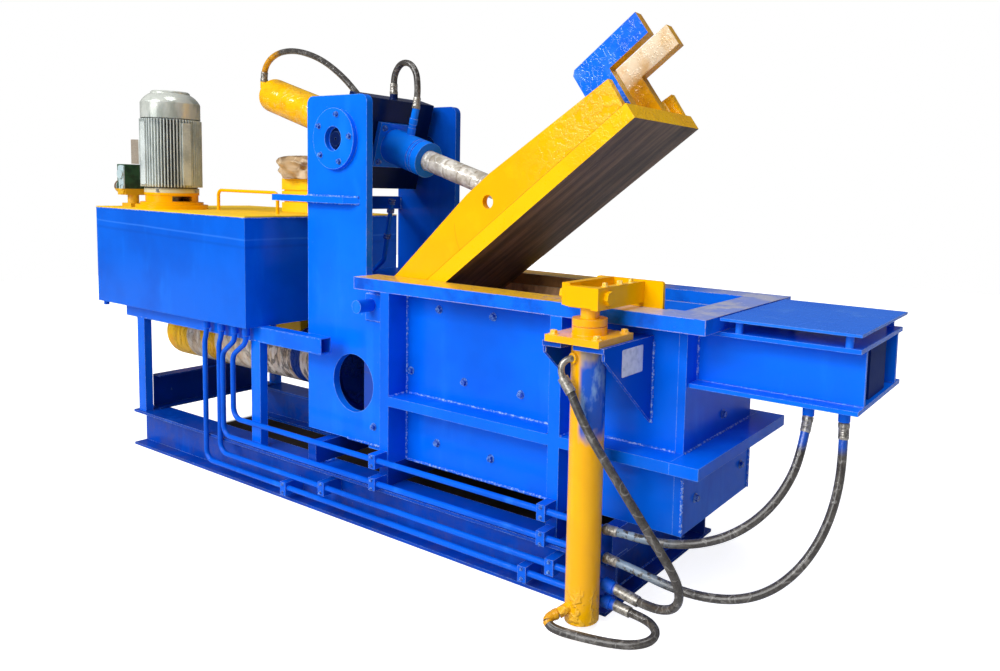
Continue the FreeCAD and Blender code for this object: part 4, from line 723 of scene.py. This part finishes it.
bolt_places, wall_paths = [], inside_corners("chamber_wall_near", "chamber_wall_far", "chamber_front_wall")
wall_face = 320
for side in (-1, 1):
    bolt_places += [(at(x, side * wall_face, z), (0, side, 0))
                    for x, z in ((2415, 1054), (2733, 1056), (2240, 748), (2571, 745), (2892, 741), (2409, 434),
                                 (2732, 429), (1986, 431))]
    wall_paths += [[at(x, side * y, z), at(end_x, side * y, end_z)]
                   for x, end_x, y, z, end_z in ((2155, 3120, 320.5, 1117, 1117), (3176, 3262, 320.5, 1117, 1117),
                                                 (2211, 3120, 320.5, 321, 321), (3667, 3667, 320, 322, 595),
                                                 (1800, 2155, 321, 340, 340))]
bolt_places += [(at(3666, y, z), (1, 0, 0)) for y, z in ((24, 718), (-202, 436), (235, 447))]
bolt.make("liner_bolts", spots(bolt_places), blue_bolt, Head=0.014, Washer=0.019, Height=0.013)
bead.make("chamber_welds", lines(wall_paths), blue_bead)

rim = Finish("rim_enamel")
rim_cloud = rim.noise(5.0, 5, 0.65)
rim_grain = rim.noise(40.0, 4, 0.65)
rim_patch = rim_cloud.step(0.4, 0.66)
rim_up = rim.facing("Z").step(0.5, 0.8)
primed = rim_up * (rim.x + 0.5 * rim_cloud).step(0.12, -0.06)
rim_inside = abs(rim.y).step(0.2905, 0.287) * rim.x.step(-0.20, -0.30)
# Towards the front the rim's top is mixed towards pale grey as a painted reflection of the sky.
painted_sky_reflection = rim_up * (rim.x + 0.2 * rim_cloud).step(0.02, 0.24)
rim_thin = rim_up * abs(rim.x - 0.18 + 0.2 * rim_cloud).step(0.16, 0.04) * rim.y.step(-0.2, -0.3)
rim_rub = rim.edges(0.006) * (rim_cloud + 0.4 * rim_grain).step(0.50, 0.72)
rim.set(
    colour=((6, 112, 248), (rim_patch, (3, 82, 206)),
            (primed, rim.mix(rim_grain.step(0.44, 0.68), (246, 190, 40), (196, 146, 74))),
            (rim_inside * (1.0 - rim_up), rim.mix(rim_patch, (170, 122, 74), (112, 78, 50))),
            ((0.4 + 0.4 * rim_cloud.step(0.44, 0.62)) * painted_sky_reflection, (208, 208, 222)), (0.6 * rim_thin, (226, 206, 160)),
            (0.85 * rim_rub, (222, 214, 196))),
    Roughness=0.14 + 0.2 * rim_grain, shine=0.2, bump=(rim_cloud + 0.3 * rim_grain, 0.003, 0.55)).coat("chamber_rim")

# --------------------
# Lid. Two side plates, ribs and lugs on a thick wear plate, hinged on a pin
# through the tower. Gloss yellow, laid on so thick at the nose that it has
# wrinkled. The wear plate's pressing face is brown with old scrap marks.
lid_tilt = math.radians(36.5)
press_way = (math.sin(lid_tilt), 0.0, -math.cos(lid_tilt))
lid = Finish("lid_enamel")
lid_cloud = lid.noise(2.4, 4, 0.55)
lid_runs = lid.noise(9.0, 4, 0.6)
lid_grain = lid.noise(60.0, 4, 0.65)
wrinkle_and_highlight = lid.creases(18.0, 4, 0.20) * (lid.x + 0.3 * lid_cloud).step(-0.45, 0.05)
lid_rub = lid.edges(0.003) * (lid_grain + 0.4 * lid_runs).step(0.6, 0.8)
lid_near = lid.y.step(-0.270, -0.275)
seam = abs(lid.reach(lid.place(), press_way) + 1.581).step(0.0035, 0.0008) * lid_near
lug, lug_radius = at(2706, 0, 1452), 0.247
arc_x, arc_z = lid.x - lug.x, lid.z - lug.z
arc = (abs((arc_x * arc_x + arc_z * arc_z).root() - lug_radius).step(0.004, 0.001) * arc_x.step(-0.19, -0.20)
       * arc_z.step(-0.16, -0.15) * arc_z.step(0.0, -0.02))
# The wrinkle ridges carry a faint painted highlight.
lid.set(
    colour=(yellow_tones[0], (0.7 * lid_cloud.step(0.40, 0.66), yellow_tones[1]),
            (0.35 * lid_runs.step(0.52, 0.72), yellow_tones[2]), (0.6 * lid_rub, (176, 128, 50)),
            (0.85 * seam + 0.4 * arc * lid_near, (196, 134, 6)), (0.07 * wrinkle_and_highlight, (255, 238, 150))),
    Roughness=0.1 + 0.12 * lid_cloud + 0.08 * lid_grain, shine=0.3,
    bump=(0.5 * lid_runs + 0.15 * lid_grain + 0.9 * wrinkle_and_highlight - 0.5 * seam, 0.005, 0.6)).coat("lid_frame")

plate = Finish("wear_plate")
plate_face = plate.reach(plate.out(), press_way).step(0.7, 0.9)
lengthwise = plate.node("ShaderNodeVectorRotate", {"rotation_type": "Y_AXIS"},
                        {"Vector": plate.place(), "Angle": lid_tilt})
streaks = plate.noise(1.6, 6.0, 0.62, (1.2, 16.0, 16.0), lengthwise)
plate_cloud = plate.noise(3.0, 5, 0.6)
plate_grain = plate.noise(70.0, 4, 0.65)
scraped = plate.ramp(streaks, (0.30, (62, 49, 42)), (0.47, (103, 83, 68)), (0.62, (138, 112, 90)),
                     (0.75, (174, 142, 112)))
scraped = plate.mix(0.35 * plate_cloud.step(0.45, 0.7), scraped, (44, 36, 34))
plate_rub = plate.edges(0.005) * (plate_cloud + 0.3 * plate_grain).step(0.5, 0.7)
plate_skin = (1.0 - plate_face) * plate.creases(18.0, 4, 0.14) * plate.x.step(-0.45, 0.05)
plate.set(
    colour=((255, 200, 0), (0.7 * plate_cloud.step(0.4, 0.66), (255, 184, 0)), (0.3 * plate_rub, (214, 160, 50)),
            (plate_face, scraped)),
    Roughness=0.22 + 0.14 * plate_grain + 0.12 * plate_face * (1.0 + streaks), shine=0.25,
    bump=(0.5 * streaks + 0.3 * plate_grain + 0.6 * plate.noise(20.0, 3) + 0.8 * plate_skin, 0.004, 0.55))
plate.coat("lid_wear_plate")
yellow_bead = lumpy("yellow_bead", (250, 190, 6), (255, 238, 160))
bead.make("lid_welds", lines(inside_corners("lid_frame")), yellow_bead, "lid", "yellow")

for node, name, outer, outer_dark, glint, deepest in (
        ("lid_tongue_near", "hook_blue", (4, 112, 246), (0, 90, 222), (96, 160, 246), 0.0),
        ("lid_tongue_far", "hook_cream", (244, 226, 196), (222, 178, 110), (255, 252, 244), -1.79)):
    f = Finish(name)
    depth = f.reach(f.place(), press_way)
    flat = f.facing("Y").step(-0.6, -0.9) * (depth + 0.04 * f.noise(9.0, 3)).step(deepest + 0.02, deepest)
    cloud = f.noise(7.0, 5, 0.62)
    grain = f.noise(50.0, 4, 0.65)
    rub = f.edges(0.004) * (cloud + 0.4 * grain).step(0.55, 0.8)
    # The pale patches on the side paint are painted highlights.
    side_paint = f.paint(outer, (0.8 * cloud.step(0.42, 0.66), outer_dark),
                         (0.55 * f.noise(4.5, 4, 0.6).step(0.50, 0.70), glint))
    f.set(
        colour=((250, 186, 14), (cloud.step(0.40, 0.68), (212, 148, 34)),
                (0.35 * f.noise(15.0, 5, 0.7).step(0.50, 0.66), (150, 98, 40)), (flat, side_paint),
                (0.6 * rub, (210, 178, 120))),
        Roughness=0.08 + 0.15 * cloud, shine=0.5,
        bump=(0.8 * cloud + 0.35 * f.creases(24.0, 3, 0.12) + 0.1 * grain, 0.005, 0.5))
    f.coat(node)

# --------------------
# Main press. A long cylinder lies under the tank and drives the ram. Its
# yellow barrel is wrapped in pale packing that has slipped into folds. The
# ram's sides still hold some of their blue paint.
main = Finish("wrapped_main_cylinder")
main_fold = main.noise(9.0, 5, 0.62, (2.2, 1, 1))
main_crease = main.noise(26.0, 4, 0.6, (3.0, 1, 1))
packing_crease_and_shade = main.creases(6.0, 4, 0.10, (2.4, 1, 1))
# The packing's crease lines are painted dark brown as painted shade.
packing = main.paint((255, 240, 218), (main_fold.step(0.38, 0.66), (222, 190, 150)),
                     (0.7 * packing_crease_and_shade * main.x.step(-2.75, -2.5), (92, 76, 62)))
slipped = main.x + 0.35 * main.z
packed = ((main.x + 0.06 * main_fold).step(-3.235, -3.225)
          * (1.0 - slipped.step(-2.895, -2.885) * main.x.step(-2.955, -2.965)))
blue_bands = main.x.step(-2.07, -2.06) + main.x.step(-2.24, -2.23) * main.x.step(-2.15, -2.16)
main.set(
    colour=((255, 196, 0), (main_fold.step(0.4, 0.66), (246, 172, 0)), (packed, packing), (blue_bands, (6, 60, 150))),
    Roughness=0.3 + 0.25 * main_crease, shine=0.25,
    bump=(main_fold + 0.5 * main_crease + packing_crease_and_shade, 0.014, 0.8)).coat("main_cylinder")
yellow.coat("main_port_block")
chrome = Finish("hard_chrome")
scratches = chrome.noise(30.0, 3, 0.5, (0.2, 6, 6))
chrome.set(
    colour=((214, 212, 206), (scratches.step(0.4, 0.7), (176, 174, 168))),
    Roughness=0.1 + 0.14 * scratches, Metallic=1.0, bump=(scratches, 0.0003, 0.4)).coat("main_piston_rod")
worn = Finish("worn_liner_steel")
worn_streak = worn.noise(5.0, 6, 0.65, (0.3, 3, 3))
worn_spot = worn.noise(26.0, 5, 0.7)
old_paint = (1.0 - worn.facing("X").step(0.5, 0.8)) * worn_streak.step(0.66, 0.52)
worn.set(
    colour=(worn.ramp(worn_streak, (0.3, (48, 40, 36)), (0.5, (92, 74, 58)), (0.68, (138, 116, 92))),
            (0.5 * worn_spot.step(0.5, 0.66), (122, 76, 44)), (old_paint, (4, 66, 170))),
    Roughness=0.35 + 0.3 * worn_spot, Metallic=0.4 * (1.0 - old_paint), bump=(worn_streak, 0.003, 0.6))
worn.coat("ram_head", "lock_bolt")

# --------------------
# Bale lift. A welded bracket on the near wall holds an upright cylinder. Its
# crosshead reaches over the rim to the lift plate inside the chamber. The
# barrel was sprayed yellow over a blue smear at its top and film at its foot.
lift = Finish("lift_enamel")
lift_up = lift.z
lift_cloud = lift.noise(5.0, 4, 0.6, (1, 1, 0.5))
lift_grain = lift.noise(50.0, 4, 0.65)
lift_skin = lift.noise(11.0, 4, 0.6, (1.6, 1.6, 0.7))
lift_film_and_highlight = lift.creases(14.0, 4, 0.14) * (1.0 - (lift_up + 0.1 * lift_cloud).step(0.17, 0.26))
smear = (lift_up + 0.35 * lift_cloud).step(0.90, 0.96) * lift_up.step(1.074, 1.07) * lift.x.step(0.030, 0.050)
smear_colour = lift.paint((10, 88, 206), (0.7 * lift_skin.step(0.50, 0.66), (150, 190, 236)),
                          (0.7 * lift_cloud.step(0.56, 0.66), (216, 186, 90)))
lift_rub = lift.edges(0.003) * lift_grain.step(0.45, 0.6)
# The film's crease lines at the foot carry a faint painted highlight.
lift.set(
    colour=(yellow_tones[0], (0.8 * lift_cloud.step(0.40, 0.64), yellow_tones[1]), (smear, smear_colour),
            (0.12 * lift_film_and_highlight, (255, 238, 150)), (0.6 * lift_rub, (246, 232, 190))),
    Roughness=0.1 + 0.16 * lift_cloud, shine=0.4,
    bump=(0.6 * lift_cloud + 0.15 * lift_grain + 1.2 * lift_film_and_highlight + smear * lift_skin, 0.006, 0.65))
lift.coat("ejector_cylinder")
lift_rod = Finish("lift_rod")
rod_line = lift_rod.noise(30.0, 3, 0.5, (6, 6, 0.2))
rod_paint = lift_rod.z.step(1.100, 1.105)
lift_rod.set(
    colour=((214, 212, 206), (rod_line.step(0.4, 0.7), (176, 174, 168)), (rod_paint, (248, 190, 8))),
    Roughness=0.12 + 0.2 * rod_line, Metallic=1.0 - rod_paint, bump=(rod_line, 0.0006, 0.4)).coat("ejector_rod")
yellow.coat("ejector_arm_front", "ejector_arm_rear", "ejector_plate", "ejector_pin")
enamel("bracket_enamel", (4, 80, 200), (2, 56, 156), (30, 112, 236), (214, 210, 190), wear=1.0).coat(
    "ejector_bracket")
bracket_feet = [[at(x, -321, 737), at(x, -321, 1054)] for x in (3262, 3524)]
bead.make("bracket_welds", lines(inside_corners("ejector_bracket") + bracket_feet), blue_bead)

pale = Finish("pale_sheet")
pale_noise = pale.noise(30.0, 4, 0.6)
pale.set(
    colour=((244, 244, 242), (pale_noise.step(0.4, 0.7), (214, 216, 216))),
    Roughness=0.35 + 0.2 * pale_noise, bump=(pale_noise, 0.0006, 0.5))
outline, corner_radius = [], 6
for y, z, first in ((-548, 952, 180), (-402, 952, 270), (-402, 1052, 0), (-548, 1052, 90)):
    for i in range(6):
        angle = math.radians(first + 18 * i)
        outline.append((y + corner_radius * ((1 if y < -500 else -1) + math.cos(angle)),
                        z + corner_radius * ((1 if z < 1000 else -1) + math.sin(angle))))
sheet = bmesh.new()
back, front = ([sheet.verts.new(at(x, y, z)) for y, z in outline] for x in (3524.0, 3525.2))
sheet.faces.new(front)
sheet.faces.new(back[::-1])
for i in range(len(back)):
    j = (i + 1) % len(back)
    sheet.faces.new((back[i], back[j], front[j], front[i]))
bmesh.ops.recalc_face_normals(sheet, faces=sheet.faces)
solid("bare_plate", sheet, pale, "frame")

flange_bolts = [(at(3395 + a, -567 + b, 1100), (0, 0, 1)) for a in (-92, 92) for b in (-92, 92)]
bolt.make("lift_flange_bolts", spots(flange_bolts), yellow_bead, slot="yellow", Head=0.015, Washer=0.019)
arm_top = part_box("ejector_arm_front")[1]
arm_bolts = [((arm_top.x - 0.015, y, arm_top.z), (0, 0, 1)) for y in (-0.56, -0.46, -0.38)]
bolt.make("crosshead_bolts", spots(arm_bolts), yellow_bead, "lift", "yellow", Head=0.011, Washer=0.0135)

# --------------------
# Lock. A short cylinder in an open steel housing pushes a square bolt over
# the closed lid. A thin table on four standoffs covers it.
blue.coat("lock_housing")
# The table gets a lighter, greyer blue than the frame, as a painted reflection of the sky on its top.
enamel("table_enamel", (26, 118, 246), (8, 96, 226), (90, 156, 250), (150, 178, 214), wear=0.7, gloss=0.16,
       ripple=0.7).coat("lock_table")
enamel("lock_inside_enamel", (3, 46, 124), (2, 34, 96), (10, 64, 156), (70, 96, 140), gloss=0.55,
       ripple=0.5).coat("lock_cylinder")
bead.make("lock_seams", lines(inside_corners("lock_housing")), lumpy("lock_seam_blue", (4, 88, 214), (60, 142, 250)),
          Width=0.005)
bead.make("lock_welds", lines([[at(3667, y, 908), at(3667, y, 1100)] for y in (-230, 230)]), blue_bead, Width=0.006)

# --------------------
# Pipes. Four cold-drawn tubes run from the tank along the near side in
# bolted clamps. Blue paint was sprayed over tubes, unions and clamps alike.
enamel("pipe_enamel", (6, 100, 232), (3, 70, 184), (50, 140, 250), (160, 180, 205), wear=0.8, gloss=0.08,
       ripple=0.4).coat("hydraulic_pipes", "pipe_clamps")
fitting = Finish("plated_fittings")
fitting_grain = fitting.noise(70.0, 4, 0.65)
sprayed = fitting.x.step(0.135, 0.125) * fitting.z.step(0.20, 0.19)
fitting.set(
    colour=((176, 172, 164), (fitting_grain.step(0.4, 0.66), (104, 100, 94)), (sprayed, (8, 92, 220)),
            (sprayed * fitting.y.step(-0.55, -0.57), (222, 158, 12))),
    Roughness=0.2 + 0.2 * fitting_grain, Metallic=0.5 * (1.0 - sprayed), bump=(fitting_grain, 0.0008, 0.5))
fitting.coat("hose_fittings")
clamp_bolts = [(at(x, -506, z + up), (0, -1, 0))
               for x, z in ((1535, 76), (3060, 76), (1827, 142), (3194, 142), (2183, 243), (3148, 243), (2183, 352),
                            (3148, 352)) for up in (20, -21)]
bolt.make("clamp_bolts", spots(clamp_bolts), blue_bolt, Head=0.0065, Washer=0.008, Height=0.006, Stud=0.003)

# --------------------
# Hoses. Six wire-braided rubber hoses, wrapped in a clear film for painting.
# Each hangs in one smooth curve, most of them between two crimped steel
# ends, and some carry paint where the spray reached them.
hose_radius = 0.016
# Each hose has its length and its points, in millimetres.
hoses = {
    "hose_rear_cap": (1097, [
        (-2630, -40, 2172), (-2623, -44, 2216), (-2599, -49, 2262), (-2545, -54, 2302), (-2452, -60, 2330),
        (-2314, -66, 2330), (-2161, -72, 2296), (-2024, -80, 2243), (-1890, -90, 2167), (-1793, -100, 2099),
        (-1696, -112, 2023)]),
    "hose_gland": (490, [
        (-1439, 0, 1990), (-1429, 0, 2052), (-1428, 0, 2116), (-1438, 0, 2178), (-1483, 0, 2226), (-1548, 0, 2228),
        (-1593, 0, 2178), (-1600, 0, 2118), (-1599, 0, 2066)]),
    "hose_lift_top": (1090, [
        (225, -492, 119), (287, -504, 121), (349, -524, 138), (404, -549, 172), (439, -577, 226), (443, -603, 292),
        (418, -624, 358), (375, -640, 425), (326, -650, 493), (273, -658, 564), (217, -664, 635), (159, -668, 707),
        (103, -670, 779), (59, -670, 845), (25, -669, 908)]),
    "hose_lift_bottom": (651, [
        (189, -490, 66), (253, -493, 64), (307, -511, 60), (339, -548, 54), (331, -592, 44), (282, -628, 35),
        (207, -650, 29), (133, -664, 26), (73, -678, 27), (23, -695, 33), (-20, -706, 47), (-36, -684, 65),
        (-11, -654, 71)]),
    "hose_lock_rear": (1025, [
        (67, -486, 352), (157, -486, 354), (247, -484, 354), (352, -474, 362), (452, -450, 384), (552, -414, 428),
        (640, -366, 502), (701, -308, 600), (729, -248, 712), (727, -190, 838)]),
    "hose_lock_front": (1309, [
        (73, -486, 243), (162, -486, 236), (247, -486, 225), (337, -484, 211), (422, -476, 203), (507, -462, 204),
        (592, -440, 216), (672, -408, 246), (741, -370, 300), (797, -328, 376), (837, -286, 470), (859, -244, 580),
        (863, -208, 705), (855, -190, 838)]),
}

rubber = Finish("braided_hose")
hose_x, hose_z = rubber.x, rubber.z
braid = rubber.noise(170.0, 2, 0.5)
hose_film = rubber.noise(30.0, 4, 0.65)
hose_crease_and_highlight = rubber.creases(14.0, 2, 0.06)
oversprayed = (hose_x.step(0.42, 0.16) * hose_z.step(0.19, 0.20) * hose_z.step(0.42, 0.40)
               * hose_film.step(0.44, 0.5))
blue_end = hose_z.step(0.72, 0.76) * hose_x.step(0.60, 0.62)
# The film's crease lines carry a painted highlight.
rubber.set(
    colour=((58, 55, 53), (0.35 * braid.step(0.42, 0.58), (84, 80, 76)),
            (0.35 * hose_film.step(0.44, 0.66), (116, 112, 106)), (0.2 * hose_crease_and_highlight, (196, 193, 188)),
            (hose_x.step(-2.42, -2.50), rubber.mix(hose_film.step(0.4, 0.64), (226, 160, 16), (150, 104, 30))),
            (oversprayed, (120, 140, 160)), (blue_end * 0.85, (10, 84, 196))),
    Roughness=0.1 + 0.25 * hose_film, shine=0.6,
    bump=(0.1 * braid + 0.7 * hose_film + 0.3 * hose_crease_and_highlight, 0.003, 0.5))


def crimp(name, path, body):
    """A crimped steel end on a hose: a ribbed sleeve over its first 60 mm, along the hose's own line."""
    sides, steps = 18, 15
    run = [0.0]
    for first, second in zip(path, path[1:]):
        run.append(run[-1] + (second - first).length)

    def point(distance):
        i = max(1, next(k for k, r in enumerate(run) if r >= distance))
        return path[i - 1].lerp(path[i], (distance - run[i - 1]) / max(1e-9, run[i] - run[i - 1]))

    shell, rings = bmesh.new(), []
    for k in range(steps + 1):
        distance = 0.002 + 0.060 * k / steps
        here = point(distance)
        way = (point(distance + 0.004) - point(max(0.0, distance - 0.004))).normalized()
        across = way.orthogonal().normalized()
        up = way.cross(across)
        radius = 0.0166 if k in (0, steps) else (0.0205 if k < 5 else (0.0192 if k % 2 else 0.0182))
        turns = [2 * math.pi * j / sides for j in range(sides)]
        rings.append([shell.verts.new(here + radius * (math.cos(a) * across + math.sin(a) * up)) for a in turns])
    for lower, upper in zip(rings, rings[1:]):
        for j in range(sides):
            shell.faces.new((lower[j - 1], lower[j], upper[j], upper[j - 1]))
    shell.faces.new(rings[0])
    shell.faces.new(rings[-1])
    bmesh.ops.recalc_face_normals(shell, faces=shell.faces)
    return solid(name, shell, fitting, body)


bare_ends = ("hose_lift_top_a", "hose_lift_top_b", "hose_lift_bottom_a")
for name, (length, run) in hoses.items():
    points = [tuple(c / 1000 for c in point) for point in run]
    line = bpy.data.curves.new(name + "_run", "CURVE")
    line.dimensions = "3D"
    spline = line.splines.new("NURBS")
    spline.points.add(len(points) - 1)
    for control, point in zip(spline.points, points):
        control.co = (*point, 1.0)
    spline.order_u = 3
    spline.use_endpoint_u = True
    line.resolution_u = 12
    hose = put(name + "_run", line)
    middle_line = [v.co.copy() for v in bpy.data.meshes.new_from_object(hose).vertices]
    line.bevel_depth = hose_radius
    line.bevel_resolution = 5
    line.use_fill_caps = True
    line.materials.append(rubber.material)
    ferrules = [crimp(name + "_ferrule_" + end, path, body_of[name])
                for end, path in (("a", middle_line), ("b", middle_line[::-1])) if name + "_" + end not in bare_ends]
    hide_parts(name)
    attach(hose, body_of[name])
